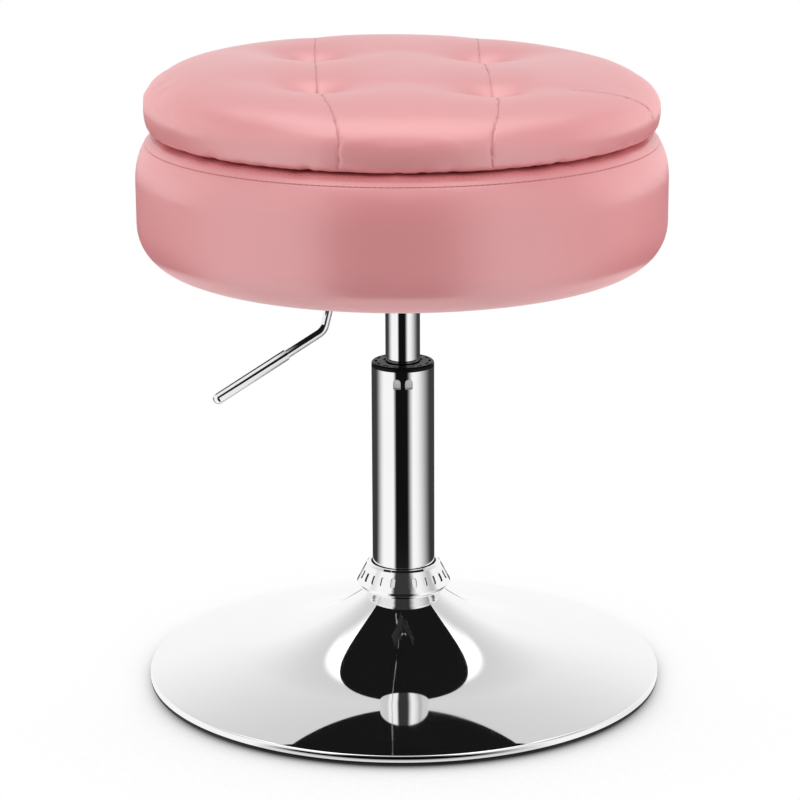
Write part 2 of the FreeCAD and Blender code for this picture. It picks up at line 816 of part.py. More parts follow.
def drum_top_band():
    """Upholstery band from the stitch line over the rim and down inside the wall."""
    outer, inner = (top_outline(inset).run(band_fold_h) for inset in (0, cover_t))
    return turned_skin(outer, inner)


def drum_padding():
    """Foam round the wall, rolled under the floor board at its foot and thin over the wall's top."""
    inner = corners_outline((drum_wall_in_r, wall_top_z), (drum_board_r, wall_top_z), (drum_board_r, board_z))
    return turned(side_outline(cover_t), top_outline(cover_t), inner)


def drum_lining():
    """Cloth on the inside of the wall, below the turned-in band."""
    return ring(drum_wall_in_r - lining_t, drum_wall_in_r, drum_floor_z, drum_wall_h - band_fold_h)


def floor_liner():
    """Cloth-covered sheet on the floor of the drum."""
    return disc(drum_wall_in_r - lining_t - rest_gap, drum_floor_z, floor_liner_t)


def dust_cover():
    """Black cloth stretched under the padded roll, cut out round the seat plate."""
    z = board_z - drum_roll - dust_cover_t
    hole = plate_box(plate_side + 2 * rest_gap, plate_corner, z, dust_cover_t)
    return disc(drum_r - dust_cover_in, z, dust_cover_t).cut(to_lever(hole))


# Lid

def lid_arcs():
    """Radius and end slope of each arc of the lid's profile from the axis to its widest line."""
    arcs = [(lid_shoulder_r, lid_shoulder_deg), (lid_brow_r, lid_brow_deg), (lid_edge_r, 90.0)]
    reach = 0.0
    slope = lid_crown_deg
    for radius, end in arcs:
        reach += radius * (math.sin(math.radians(end)) - math.sin(math.radians(slope)))
        slope = end
    crown_r = (lid_r - reach) / math.sin(math.radians(lid_crown_deg))
    return [(crown_r, lid_crown_deg)] + arcs


def lid_outline(inset):
    """Crowned profile from the axis, over the shoulder and round the drawn-in edge to the flat underside."""
    outline = Outline(0, lid_top_z, 0, inset)
    for radius, slope in lid_arcs():
        outline.bend(radius, -slope)
    tuck = math.radians(lid_tuck_deg)
    drop = outline.spot.z - lid_foot_z - inset
    drop -= (lid_tuck_r - inset) * math.sin(tuck) + (lid_foot_r - inset) * (1 - math.sin(tuck))
    outline.bend(lid_tuck_r, -90 - lid_tuck_deg).run(drop / math.cos(tuck)).bend(lid_foot_r, -180)
    return outline.to(0, outline.spot.z)


def crown_z(r):
    """Height of the lid's top at a radius."""
    spot_r, spot_z, slope = 0.0, lid_top_z, 0.0
    for radius, end_deg in lid_arcs():
        end = math.radians(end_deg)
        centre_r = spot_r - radius * math.sin(slope)
        centre_z = spot_z - radius * math.cos(slope)
        spot_r, spot_z, slope = centre_r + radius * math.sin(end), centre_z + radius * math.cos(end), end
        if r <= spot_r:
            break
    return centre_z + math.sqrt(max(radius ** 2 - (r - centre_r) ** 2, 0))


def tuft_foot_z():
    """Height of the bottom of a tuft."""
    return crown_z(tuft_half * math.sqrt(2)) - tuft_deep


def tuft_funnel(inset):
    """Funnel with swelling flanks that a tie pulls into the lid, on the axis."""
    foot = tuft_foot_z() - inset
    core_r = tuft_core_d / 2 + inset
    rim_r = tuft_w / 2 + inset
    rim_z = foot + tuft_deep + tuft_rim_up
    bulge = Vector(core_r + tuft_bulge_out * (rim_r - core_r), 0, foot + tuft_bulge_up * (rim_z - foot))
    flank = Part.Arc(Vector(core_r, 0, foot), bulge, Vector(rim_r, 0, rim_z)).toShape()
    top = rim_z + tuft_deep
    sides = Part.makePolygon([Vector(rim_r, 0, rim_z), Vector(rim_r, 0, top), Vector(0, 0, top),
                              Vector(0, 0, foot), Vector(core_r, 0, foot)])
    return turned_edges([flank] + sides.Edges)


def seam_groove(root, inset):
    """V-shaped groove whose root is the arc through three points of the plane of X and Z."""
    start, middle, end = (Vector(x, 0, z) for x, z in root)
    centre = Part.Circle(start, middle, end).Center
    flank = math.radians(seam_flank_deg)
    out = (start - centre).normalize()
    foot = start - out * (inset / math.cos(flank))
    rise = out * tuft_deep
    spread = SIDEWAYS * (tuft_deep / math.tan(flank))
    face = Part.Face(Part.makePolygon([foot, foot + rise + spread, foot + rise - spread, foot]))
    return face.revolve(centre, SIDEWAYS, math.degrees(out.getAngle(end - centre)))


def seam_grooves(inset):
    """Sewn channels between neighbouring tufts and from each tuft out over the edge of the lid."""
    near = (tuft_half, tuft_foot_z() + tuft_deep / 2)
    inner = seam_groove([(-near[0], near[1]), (0, crown_z(tuft_half) - seam_deep), near], inset)
    edge_x = math.sqrt(lid_r ** 2 - tuft_half ** 2)
    brow_x = edge_x - seam_brow_in
    brow = (brow_x, crown_z(math.hypot(brow_x, tuft_half)) - seam_brow_deep)
    outer = seam_groove([near, brow, (edge_x + seam_runout, crown_z(lid_r))], inset)
    grooves = []
    for tool, sides in ((inner, (1,)), (outer, (-1, 1))):
        for side in sides:
            placed = tool.copy()
            placed.translate(SIDEWAYS * (side * tuft_half))
            grooves += around(placed, 4)
    return grooves


@functools.lru_cache(maxsize=None)
def tufted(inset):
    """Lid form with its tufts and sewn channels."""
    tools = seam_grooves(inset) + at_corners(tuft_funnel(inset), tuft_spacing)
    return to_lid(turned(lid_outline(inset)).cut(tools))


def tie_holes(r, z, height):
    """Upright pegs at the four tufts."""
    return [to_lid(peg) for peg in at_corners(disc(r, z, height), tuft_spacing)]


def lid_cover():
    """Upholstery of the lid, turned in under the board."""
    mouth = disc(lid_locator_r + lid_wrap_gap, lid_foot_z, lid_cover_t)
    return tufted(0).cut([tufted(lid_cover_t), mouth])


def lid_foam():
    """Foam over the board and round its edge, with a hole for each tie."""
    board = disc(lid_board_r, lid_board_z, lid_board_t)
    return tufted(lid_cover_t).cut([board] + tie_holes(tie_d / 2, lid_board_z, lid_h))


def lid_board():
    """Plywood board under the foam."""
    return disc(lid_board_r, lid_board_z, lid_board_t).cut(tie_holes(tie_d / 2, lid_board_z, lid_board_t))


def lid_locator():
    """Smaller board that centres the lid in the mouth of the drum, with pockets for the toggles."""
    pockets = tie_holes(toggle_d / 2 + toggle_room, locator_z, lid_locator_t)
    return disc(lid_locator_r, locator_z, lid_locator_t).cut(pockets)


def lid_underlining():
    """Cloth that closes the underside of the lid."""
    return disc(lid_locator_r, locator_z - lining_t, lining_t)


def tuft_ties():
    """Ties that pull the tufts in: a cord through foam and board, and a toggle under the board."""
    cord = disc(tie_d / 2, lid_board_z, tuft_foot_z() - lid_cover_t - lid_board_z)
    tie = cord.fuse(disc(toggle_d / 2, lid_board_z - toggle_t, toggle_t)).removeSplitter()
    return to_lid(Part.makeCompound(at_corners(tie, tuft_spacing)))


NODES = [
    floor_ring, base_shell, base_bottom_plate, base_ballast, column_socket, collar_ring,
    column_tube, guide_bush, tube_end_plate, lower_race, bearing_balls, ball_cage, upper_race,
    piston_rod, rod_clip, rod_bumper, piston, piston_ring,
    gas_cylinder, valve_body, release_pin, cylinder_guide, cylinder_seal,
    seat_plate, lever_channel, plate_socket, lever_pivot_pin, lever_spacers, lever_rod, lever_sleeve,
    plate_bolts, plate_washers, tee_nuts,
    drum_floor, drum_wall, drum_padding, drum_side_cover, drum_top_band, drum_lining, floor_liner, dust_cover,
    lid_board, lid_locator, lid_underlining, lid_foam, lid_cover, tuft_ties,
]


def main():
    """Writes one file for each node."""
    os.makedirs("parts", exist_ok=True)
    for make in NODES:
        shape = make()
        print(make.__name__, len(shape.Solids), round(shape.Volume), shape.isValid())
        shape.exportStep("parts/" + make.__name__ + ".step")


if __name__ == "__main__":
    main()
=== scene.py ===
"""Dresses the swivel storage stool: chromed lift and base, padded drum and tufted lid, in a plain studio.

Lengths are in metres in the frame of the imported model: +Z up, the floor at zero, the viewer on the -Y side.
"""

import json
import logging
import math
from dataclasses import dataclass
from enum import Enum
from typing import Callable, Iterable, Sequence

import bmesh
import bpy
import numpy as np
from mathutils import Matrix, Vector

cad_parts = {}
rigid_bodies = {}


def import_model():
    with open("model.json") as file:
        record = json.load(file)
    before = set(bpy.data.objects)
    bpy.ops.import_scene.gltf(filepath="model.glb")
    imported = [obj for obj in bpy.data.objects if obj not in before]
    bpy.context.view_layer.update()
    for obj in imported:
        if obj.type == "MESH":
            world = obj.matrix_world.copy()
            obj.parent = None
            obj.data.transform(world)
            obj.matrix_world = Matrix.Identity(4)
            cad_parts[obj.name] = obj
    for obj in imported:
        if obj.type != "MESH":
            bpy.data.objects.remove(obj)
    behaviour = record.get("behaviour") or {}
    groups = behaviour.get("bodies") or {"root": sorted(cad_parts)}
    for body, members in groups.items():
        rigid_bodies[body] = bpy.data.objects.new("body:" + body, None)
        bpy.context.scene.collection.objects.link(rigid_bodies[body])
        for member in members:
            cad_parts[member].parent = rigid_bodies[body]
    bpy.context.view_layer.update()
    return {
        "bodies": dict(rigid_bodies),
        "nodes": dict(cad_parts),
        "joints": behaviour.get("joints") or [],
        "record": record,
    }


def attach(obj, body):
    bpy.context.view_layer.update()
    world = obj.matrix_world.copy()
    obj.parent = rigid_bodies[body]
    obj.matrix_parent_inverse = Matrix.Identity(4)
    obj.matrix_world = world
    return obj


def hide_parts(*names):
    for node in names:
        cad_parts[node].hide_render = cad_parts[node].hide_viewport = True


LOG = logging.getLogger("stool")
MM = 0.001
MERGE = 1e-6
TINY = 1e-9
SHARP_DEG = 38.0
IMAGE_PX = 800

Piece = bpy.types.Object
Socket = bpy.types.NodeSocket
Level = float | bpy.types.NodeSocket


class Body(Enum):
    """Moving bodies of the stool that dressed pieces ride on."""

    BASE = "base"
    SEAT = "seat"
    LID = "lid"


class Slot(Enum):
    """Finishes of the record."""

    CHROME = "chrome"
    RUBBER = "black_rubber"
    BLACK_STEEL = "black_steel"
    IRON = "cast_iron"
    STEEL = "bare_steel"
    NYLON = "black_nylon"
    ALLOY = "light_alloy"
    PLYWOOD = "plywood"
    FOAM = "foam"
    LEATHER = "pink_leather"
    CLOTH = "lining_cloth"
    THREAD = "pink_thread"


class Shader:
    """A node tree with short ways to add and join nodes."""

    def __init__(self, tree: bpy.types.NodeTree) -> None:
        """Clears the tree."""
        self.tree = tree
        tree.nodes.clear()

    def add(self, kind: str, inputs: dict | None = None, **settings) -> bpy.types.Node:
        """Adds a node.

        Args:
            kind: the node's type.
            inputs: socket name or index to a value, or to a socket to link from.
            settings: attributes of the node.
        Returns:
            The new node.
        """
        node = self.tree.nodes.new(kind)
        for name, value in settings.items():
            setattr(node, name, value)
        for name, value in (inputs or {}).items():
            if isinstance(value, Socket):
                self.tree.links.new(value, node.inputs[name])
            else:
                node.inputs[name].default_value = value
        return node

    def math(self, operation: str, *values: Level) -> Socket:
        """Returns the result of a math node on values or sockets."""
        return self.add("ShaderNodeMath", dict(enumerate(values)), operation=operation).outputs[0]

    def ramp(self, value: Socket, low: float, high: float, to_low: float = 0.0, to_high: float = 1.0) -> Socket:
        """Returns a smooth step of a socket from one range to another."""
        inputs = {"Value": value, "From Min": low, "From Max": high, "To Min": to_low, "To Max": to_high}
        return self.add("ShaderNodeMapRange", inputs, interpolation_type="SMOOTHSTEP").outputs[0]

    def coord(self) -> Socket:
        """Returns object coordinates."""
        return self.add("ShaderNodeTexCoord").outputs["Object"]

    def axes(self, vector: Socket) -> Sequence[Socket]:
        """Returns the three parts of a vector."""
        return self.add("ShaderNodeSeparateXYZ", {"Vector": vector}).outputs

    def length(self, vector: Socket) -> Socket:
        """Returns the length of a vector."""
        return self.add("ShaderNodeVectorMath", {0: vector}, operation="LENGTH").outputs["Value"]

    def noise(self, scale: float, detail: float = 3.0, vector: Socket | None = None, **inputs: float) -> Socket:
        """Returns a noise value on object coordinates, or on another vector."""
        sockets = {"Vector": vector or self.coord(), "Scale": scale, "Detail": detail, **inputs}
        return self.add("ShaderNodeTexNoise", sockets).outputs["Fac"]

    def mix(self, factor: Level, first: Sequence | Socket, second: Sequence | Socket) -> Socket:
        """Returns a blend of two colours."""
        ends = {index: colour if isinstance(colour, Socket) else (*colour, 1)
                for index, colour in ((6, first), (7, second))}
        return self.add("ShaderNodeMix", {0: factor, **ends}, data_type="RGBA").outputs[2]

    def blend(self, factor: Level, first: Level, second: Level) -> Socket:
        """Returns a blend of two numbers."""
        return self.add("ShaderNodeMix", {0: factor, 2: first, 3: second}).outputs[0]

    def bump(self, height: Socket, strength: float, distance: float, normal: Socket | None = None) -> Socket:
        """Returns a normal bent by a height."""
        inputs = {"Height": height, "Strength": strength, "Distance": distance}
        if normal is not None:
            inputs["Normal"] = normal
        return self.add("ShaderNodeBump", inputs).outputs["Normal"]

    def ray(self, kind: str) -> Socket:
        """Returns what is asked about the ray that meets the surface."""
        return self.add("ShaderNodeLightPath").outputs[kind]

    def from_mirror(self) -> Socket:
        """Returns 1 for a ray that a polished or clear surface sends on."""
        return self.math("MAXIMUM", self.ray("Is Glossy Ray"), self.ray("Is Transmission Ray"))

    def glow(self, strength: Level) -> Socket:
        """Returns a white glow."""
        return self.add("ShaderNodeEmission", {"Strength": strength}).outputs[0]

    def over(self, factor: Level, first: Socket, second: Socket) -> Socket:
        """Returns a blend of two surfaces."""
        return self.add("ShaderNodeMixShader", {0: factor, 1: first, 2: second}).outputs[0]


def new_material(name: str) -> tuple[bpy.types.Material, Shader]:
    """Returns a new material and its cleared tree."""
    made = bpy.data.materials.new(name)
    made.use_nodes = True
    return made, Shader(made.node_tree)


def add_object(name: str, data: bpy.types.ID) -> Piece:
    """Returns a new object in the scene."""
    made = bpy.data.objects.new(name, data)
    bpy.context.scene.collection.objects.link(made)
    return made


@dataclass(frozen=True)
class Finish:
    """A surface finish: a colour with fine mottling, gloss that varies a little, and a fine relief.

    Attributes:
        name: name of the material.
        colour: linear base colour.
        shade: how much darker the mottling gets, as a share.
        mottle: size of the mottling.
        metallic: share of metal.
        gloss: lowest and highest roughness.
        grain: size of the relief's grain.
        relief: height of the relief.
        specular: specular level of a dielectric.
        ior: index of refraction of a dielectric.
    """

    name: str
    colour: tuple[float, float, float]
    shade: float = 0.15
    mottle: float = 0.02
    metallic: float = 0.0
    gloss: tuple[float, float] = (0.4, 0.5)
    grain: float = 0.0006
    relief: float = 0.00003
    specular: float = 0.5
    ior: float = 1.5

    @property
    def dark(self) -> tuple[float, ...]:
        """Darkest colour of the mottling."""
        return tuple(c * (1 - self.shade) for c in self.colour)

    def surface(self, shader: Shader) -> tuple[Socket, Socket, Socket]:
        """Returns the sockets of colour, roughness and normal."""
        colour = shader.mix(shader.noise(1 / self.mottle), self.dark, self.colour)
        rough = shader.ramp(shader.noise(0.4 / self.mottle, detail=4.0), 0.3, 0.7, *self.gloss)
        normal = shader.bump(shader.noise(1 / self.grain, detail=2.0), 0.5, self.relief)
        return colour, rough, normal

    def material(self) -> bpy.types.Material:
        """Builds the material, or returns it if it exists."""
        if self.name in bpy.data.materials:
            return bpy.data.materials[self.name]
        made, shader = new_material(self.name)
        colour, rough, normal = self.surface(shader)
        principled = shader.add("ShaderNodeBsdfPrincipled", {
            "Base Color": colour, "Roughness": rough, "Normal": normal, "Metallic": self.metallic,
            "Specular IOR Level": self.specular, "IOR": self.ior})
        shader.add("ShaderNodeOutputMaterial", {"Surface": principled.outputs[0]})
        return made


@dataclass(frozen=True)
class Chrome(Finish):
    """Mirror plating with faint handling haze and next to no relief."""

    def surface(self, shader: Shader) -> tuple[Socket, Socket, Socket]:
        """Returns the sockets of colour, roughness and normal."""
        haze = shader.noise(1 / self.mottle, detail=5.0)
        rough = shader.ramp(haze, 0.45, 0.8, *self.gloss)
        return shader.mix(haze, self.colour, self.dark), rough, shader.bump(haze, 0.2, self.relief)


@dataclass(frozen=True)
class Leather(Finish):
    """Coated upholstery with pebbled grain, soft creases, and shade painted darker into the seams.

    Attributes:
        crease: size of the soft creases.
        crease_relief: height of the soft creases.
        seam: darker colour painted as shade along the seam creases, where the mesh attribute of that name is one.
    """

    crease: float = 0.008
    crease_relief: float = 0.0003
    # painted shade: the seam colour darkens the leather along the seam creases, in place of the shade in the groove
    seam: tuple[float, float, float] = (0.62, 0.19, 0.20)

    def surface(self, shader: Shader) -> tuple[Socket, Socket, Socket]:
        """Returns the sockets of colour, roughness and normal."""
        coord = shader.coord()
        colour, rough, _ = super().surface(shader)
        pebbles = shader.add("ShaderNodeTexVoronoi", {"Vector": coord, "Scale": 1 / self.grain},
                             feature="SMOOTH_F1").outputs["Distance"]
        # painted shade in the seams: the seam attribute blends in the darker seam colour
        sewn = shader.add("ShaderNodeAttribute", attribute_name="seam").outputs["Fac"]
        colour = shader.mix(sewn, colour, self.seam)
        normal = shader.bump(pebbles, 0.35, self.relief)
        creases = shader.noise(1 / self.crease, 4.0, coord, Roughness=0.6)
        return colour, rough, shader.bump(creases, 0.35, self.crease_relief, normal)


@dataclass(frozen=True)
class Woven(Finish):
    """Plain cloth with crossing threads, with shade painted darker between them.

    Attributes:
        gap: share of the colour that is left as painted shade between the threads.
    """

    gap: float = 0.6

    def surface(self, shader: Shader) -> tuple[Socket, Socket, Socket]:
        """Returns the sockets of colour, roughness and normal."""
        turn = 2 * math.pi / self.grain
        waves = [shader.math("SINE", shader.math("MULTIPLY", axis, turn)) for axis in shader.axes(shader.coord())]
        weave = shader.math("MULTIPLY", shader.math("ADD", waves[0], waves[2]), waves[1])
        colour, rough, _ = super().surface(shader)
        # painted shade: darker where the weave's relief is low, between the threads
        between = tuple(c * self.gap for c in self.colour)
        colour = shader.mix(shader.ramp(weave, -1.5, 1.5), between, colour)
        return colour, rough, shader.bump(weave, 0.4, self.relief)


@dataclass(frozen=True)
class Plies(Finish):
    """Plywood: level layers of light and dark veneer with long fibres.

    Attributes:
        layer: thickness of a layer.
        stretch: how much longer than wide the fibres are.
    """

    layer: float = 0.003
    stretch: float = 12.0

    def surface(self, shader: Shader) -> tuple[Socket, Socket, Socket]:
        """Returns the sockets of colour, roughness and normal."""
        coord = shader.coord()
        long_grain = shader.add("ShaderNodeMapping", {"Vector": coord, "Scale": (1, self.stretch, 1)}).outputs[0]
        fibres = shader.noise(1 / self.mottle, 6.0, long_grain)
        height = shader.axes(coord)["Z"]
        layers = shader.math("SINE", shader.math("MULTIPLY", height, math.pi / self.layer))
        colour = shader.mix(fibres, self.dark, self.colour)
        colour = shader.mix(shader.ramp(layers, -0.3, 0.3, 0.0, 0.45), colour, self.dark)
        rough = shader.ramp(fibres, 0.2, 0.8, *self.gloss)
        return colour, rough, shader.bump(fibres, 0.4, self.relief)


FINISHES: dict[Slot, Finish] = {
    Slot.CHROME: Chrome("mirror_chrome", (0.93, 0.93, 0.935), 0.04, 0.05, 1.0, (0.025, 0.05), relief=0.000002),
    Slot.RUBBER: Finish("floor_rubber", (0.010, 0.010, 0.010), 0.4, 0.01, 0.0, (0.55, 0.7), 0.0008, 0.00005, 0.2),
    Slot.BLACK_STEEL: Finish("black_paint", (0.022, 0.022, 0.023), 0.3, 0.02, 0.0, (0.35, 0.5), 0.0015, 0.00004),
    Slot.IRON: Finish("raw_iron", (0.09, 0.088, 0.085), 0.4, 0.01, 1.0, (0.55, 0.75), 0.001, 0.0001),
    Slot.STEEL: Finish("zinc_steel", (0.58, 0.58, 0.57), 0.2, 0.006, 1.0, (0.25, 0.4), 0.0005, 0.00001),
    Slot.NYLON: Finish("satin_nylon", (0.010, 0.010, 0.011), 0.3, 0.01, 0.0, (0.2, 0.3), 0.0007, 0.00001, 0.06),
    Slot.ALLOY: Finish("turned_alloy", (0.75, 0.75, 0.77), 0.1, 0.004, 1.0, (0.25, 0.35), 0.0004, 0.00001),
    Slot.PLYWOOD: Plies("ply_veneer", (0.62, 0.43, 0.25), 0.35, 0.01, 0.0, (0.55, 0.7), relief=0.00008),
    Slot.FOAM: Finish("cut_foam", (0.80, 0.74, 0.60), 0.2, 0.004, 0.0, (0.85, 0.95), 0.0012, 0.0004),
    Slot.LEATHER: Leather("coated_leather", (0.74, 0.262, 0.276), 0.06, 0.05, 0.0, (0.31, 0.37), 0.0011, 0.00006, 1.0,
                          1.8),
    Slot.CLOTH: Woven("black_felt", (0.020, 0.020, 0.022), 0.3, 0.03, 0.0, (0.8, 0.95), 0.0012, 0.0002),
    Slot.THREAD: Woven("sewing_thread", (0.80, 0.32, 0.33), 0.2, 0.004, 0.0, (0.6, 0.75), 0.0006, 0.00005),
}


class Profile:
    """A line in the plane of radius and height, drawn by runs and tangent arcs from a start and a heading."""

    STEP_DEG = 2.0

    def __init__(self, r: float, z: float, heading: float) -> None:
        """Starts at a point, heading at an angle in degrees above the outward radius."""
        self.points: list[tuple[float, float]] = [(r, z)]
        self.heading = heading

    def to(self, r: float, z: float, parts: int = 1) -> "Profile":
        """Draws straight to a point, in equal parts."""
        start = self.points[-1]
        for share in np.linspace(0, 1, parts + 1)[1:]:
            self.points.append((start[0] + (r - start[0]) * share, start[1] + (z - start[1]) * share))
        return self

    def run(self, length: float) -> "Profile":
        """Draws straight on."""
        angle = math.radians(self.heading)
        r, z = self.points[-1]
        return self.to(r + length * math.cos(angle), z + length * math.sin(angle))

    def bend(self, radius: float, heading: float, parts: int = 0) -> "Profile":
        """Draws a tangent arc to a new heading, in steps of an even angle or in a number of parts."""
        side = 1 if heading > self.heading else -1
        count = parts or max(2, math.ceil(abs(heading - self.heading) / self.STEP_DEG))
        start = math.radians(self.heading)
        r, z = self.points[-1]
        centre = (r - side * radius * math.sin(start), z + side * radius * math.cos(start))
        for share in np.linspace(0, 1, count + 1)[1:]:
            angle = start + math.radians(heading - self.heading) * share
            self.points.append((centre[0] + side * radius * math.sin(angle),
                                centre[1] - side * radius * math.cos(angle)))
        self.heading = heading
        return self

    def skin(self, thickness: float) -> np.ndarray:
        """Returns a closed loop of the line and the line beside it, to the left by a thickness."""
        line = np.array(self.points)
        ahead = np.gradient(line, axis=0)
        ahead /= np.linalg.norm(ahead, axis=1, keepdims=True)
        beside = line + np.stack([-ahead[:, 1], ahead[:, 0]], -1) * thickness
        return np.vstack([line, beside[::-1]])


class Maker:
    """Makes meshes and hands finished pieces to the frame."""

    def __init__(self, frame: dict) -> None:
        """Keeps the loaded frame."""
        self.frame = frame

    def mesh(self, name: str, points: Sequence, faces: Sequence) -> Piece:
        """Makes an object from points and faces, with its doubles merged and its faces outwards.

        Args:
            name: name of the object.
            points: vertex places.
            faces: vertex numbers of each face.
        Returns:
            The object, linked to the scene.
        """
        data = bpy.data.meshes.new(name)
        data.from_pydata([tuple(p) for p in points], [], [tuple(f) for f in faces])
        work = bmesh.new()
        work.from_mesh(data)
        bmesh.ops.remove_doubles(work, verts=work.verts, dist=MERGE)
        bmesh.ops.recalc_face_normals(work, faces=work.faces)
        work.to_mesh(data)
        work.free()
        return add_object(name, data)

    def revolve(self, name: str, line: Sequence, segments: int, closed: bool = True,
                shift: Callable | None = None) -> Piece:
        """Turns a line about the column's axis.

        Args:
            name: name of the object.
            line: points of radius and height.
            segments: steps round the axis.
            closed: whether the line is a closed loop.
            shift: moves the grid of points, given as three arrays of angle, radius and height.
        Returns:
            The turned object.
        """
        line = np.array(line)
        angle = np.linspace(0, 2 * math.pi, segments, endpoint=False)
        a, r = np.meshgrid(angle, line[:, 0], indexing="ij")
        z = np.repeat(line[None, :, 1], segments, 0)
        if shift:
            a, r, z = shift(a, r, z)
        points = np.stack([r * np.cos(a), r * np.sin(a), z], -1).reshape(-1, 3)
        rows = len(line)
        spans = rows if closed else rows - 1
        faces = []
        for i in range(segments):
            j = (i + 1) % segments
            for k in range(spans):
                n = (k + 1) % rows
                faces.append((i * rows + k, j * rows + k, j * rows + n, i * rows + n))
        return self.mesh(name, points, faces)

    def smooth(self, piece: Piece, sharp_deg: float = SHARP_DEG) -> Piece:
        """Shades a piece smooth, apart from edges sharper than an angle."""
        piece.data.shade_smooth()
        piece.data.set_sharp_from_angle(angle=math.radians(sharp_deg))
        return piece

    def plain(self, piece: Piece) -> None:
        """Turns what the modifiers make into the piece's own mesh and removes them."""
        graph = bpy.context.evaluated_depsgraph_get()
        made = bpy.data.meshes.new_from_object(piece.evaluated_get(graph))
        old = piece.data
        piece.modifiers.clear()
        piece.data = made
        bpy.data.meshes.remove(old)

    def finish(self, piece: Piece, body: Body, slot: Slot, *nodes: str, coat: Finish | None = None) -> None:
        """Gives a piece the material of its slot or of another finish, puts it on its body, and hides the solids that
        it stands for.

        Args:
            piece: the finished mesh object.
            body: body that it rides on.
            slot: finish that it takes.
            nodes: solids that it replaces.
            coat: finish other than the slot's own.
        """
        piece.data.materials.clear()
        piece.data.materials.append((coat or FINISHES[slot]).material())
        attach(piece, body.value)
        if nodes:
            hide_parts(*nodes)
        LOG.info("%s rides on %s, %d faces", piece.name, body.value, len(piece.data.polygons))

    def dress_solids(self) -> None:
        """Gives every solid of the frame the material of its slot."""
        for part in self.frame["record"]["subparts"]:
            solid = self.frame["nodes"][part["node"]]
            solid.data.materials.clear()
            solid.data.materials.append(FINISHES[Slot(part["material_slot"])].material())


def vertex_places(piece: Piece) -> np.ndarray:
    """Returns the vertex places of a piece as rows."""
    places = np.empty(len(piece.data.vertices) * 3)
    piece.data.vertices.foreach_get("co", places)
    return places.reshape(-1, 3)


def place_vertices(piece: Piece, places: np.ndarray) -> None:
    """Moves the vertices of a piece."""
    piece.data.vertices.foreach_set("co", np.ascontiguousarray(places).ravel())
    piece.data.update()


def off_axis(places: np.ndarray) -> np.ndarray:
    """Returns the distance of each place from the column's axis."""
    return np.hypot(places[:, 0], places[:, 1])


def share_of(value: np.ndarray, width: float) -> np.ndarray:
    """Returns how much of a width each value covers, from 0 to 1."""
    return np.clip(value / width, 0, 1)


def ripple(angle: np.ndarray, waves: Sequence[int], seed: int) -> np.ndarray:
    """Returns an irregular wave round the axis, from about -1 to 1.

    Args:
        angle: angles round the axis.
        waves: whole numbers of waves that are mixed.
        seed: start of the random phases.
    Returns:
        One height for each angle.
    """
    phases = np.random.default_rng(seed).uniform(0, 2 * math.pi, len(waves))
    return sum(np.sin(n * angle + p) for n, p in zip(waves, phases)) / math.sqrt(len(waves))


@dataclass(frozen=True)
class Swell:
    """How a filling presses its cover out.

    Attributes:
        voxel: size of the even mesh that is blown up.
        pressure: pressure of the filling.
        frames: steps of the simulation.
        reach: farthest that a point may move.
        ease: passes that even out the cover after that.
        quality: substeps of the simulation.
        bending: stiffness of the cover against bending.
    """

    voxel: float = 0.0042
    pressure: float = 4.0
    frames: int = 20
    reach: float = 0.005
    ease: int = 6
    quality: int = 6
    bending: float = 0.5

    def even(self, maker: Maker, piece: Piece) -> None:
        """Remeshes a piece evenly."""
        remesh = piece.modifiers.new("even", "REMESH")
        remesh.mode = "VOXEL"
        remesh.voxel_size = self.voxel
        maker.plain(piece)

    def press(self, maker: Maker, piece: Piece, pins: np.ndarray) -> None:
        """Blows a piece up against its pins, as far as the reach allows.

        Args:
            maker: turns the result into a plain mesh.
            piece: closed cover.
            pins: how firmly each vertex is held, from 0 to 1.
        """
        rest = vertex_places(piece)
        held = piece.vertex_groups.new(name="held")
        for index in np.flatnonzero(pins):
            held.add([int(index)], float(pins[index]), "REPLACE")
        cloth = piece.modifiers.new("cover", "CLOTH")
        cloth.point_cache.frame_start = 1
        cloth.point_cache.frame_end = self.frames
        cloth.collision_settings.use_collision = False
        settings = cloth.settings
        settings.quality = self.quality
        settings.bending_stiffness = self.bending
        settings.use_pressure = True
        settings.uniform_pressure_force = self.pressure
        settings.effector_weights.gravity = 0
        settings.vertex_group_mass = held.name
        for frame in range(1, self.frames + 1):
            bpy.context.scene.frame_set(frame)
        maker.plain(piece)
        moved = vertex_places(piece) - rest
        far = np.maximum(np.linalg.norm(moved, axis=1, keepdims=True), TINY)
        place_vertices(piece, rest + moved / far * self.reach * np.tanh(far / self.reach))
        piece.vertex_groups.clear()
        bpy.context.scene.frame_set(1)
        LOG.info("%s swelled by up to %.1f mm", piece.name, far.max() / MM)

    def inflate(self, maker: Maker, piece: Piece, pins: np.ndarray) -> None:
        """Blows a piece up, then eases it if easing is asked for, and refines it once.

        Args:
            maker: turns the result into a plain mesh.
            piece: closed cover.
            pins: how firmly each vertex is held, from 0 to 1.
        """
        self.press(maker, piece, pins)
        if self.ease:
            piece.modifiers.new("ease", "SMOOTH").iterations = self.ease
        refine = piece.modifiers.new("refine", "SUBSURF")
        refine.levels = refine.render_levels = 1
        maker.plain(piece)


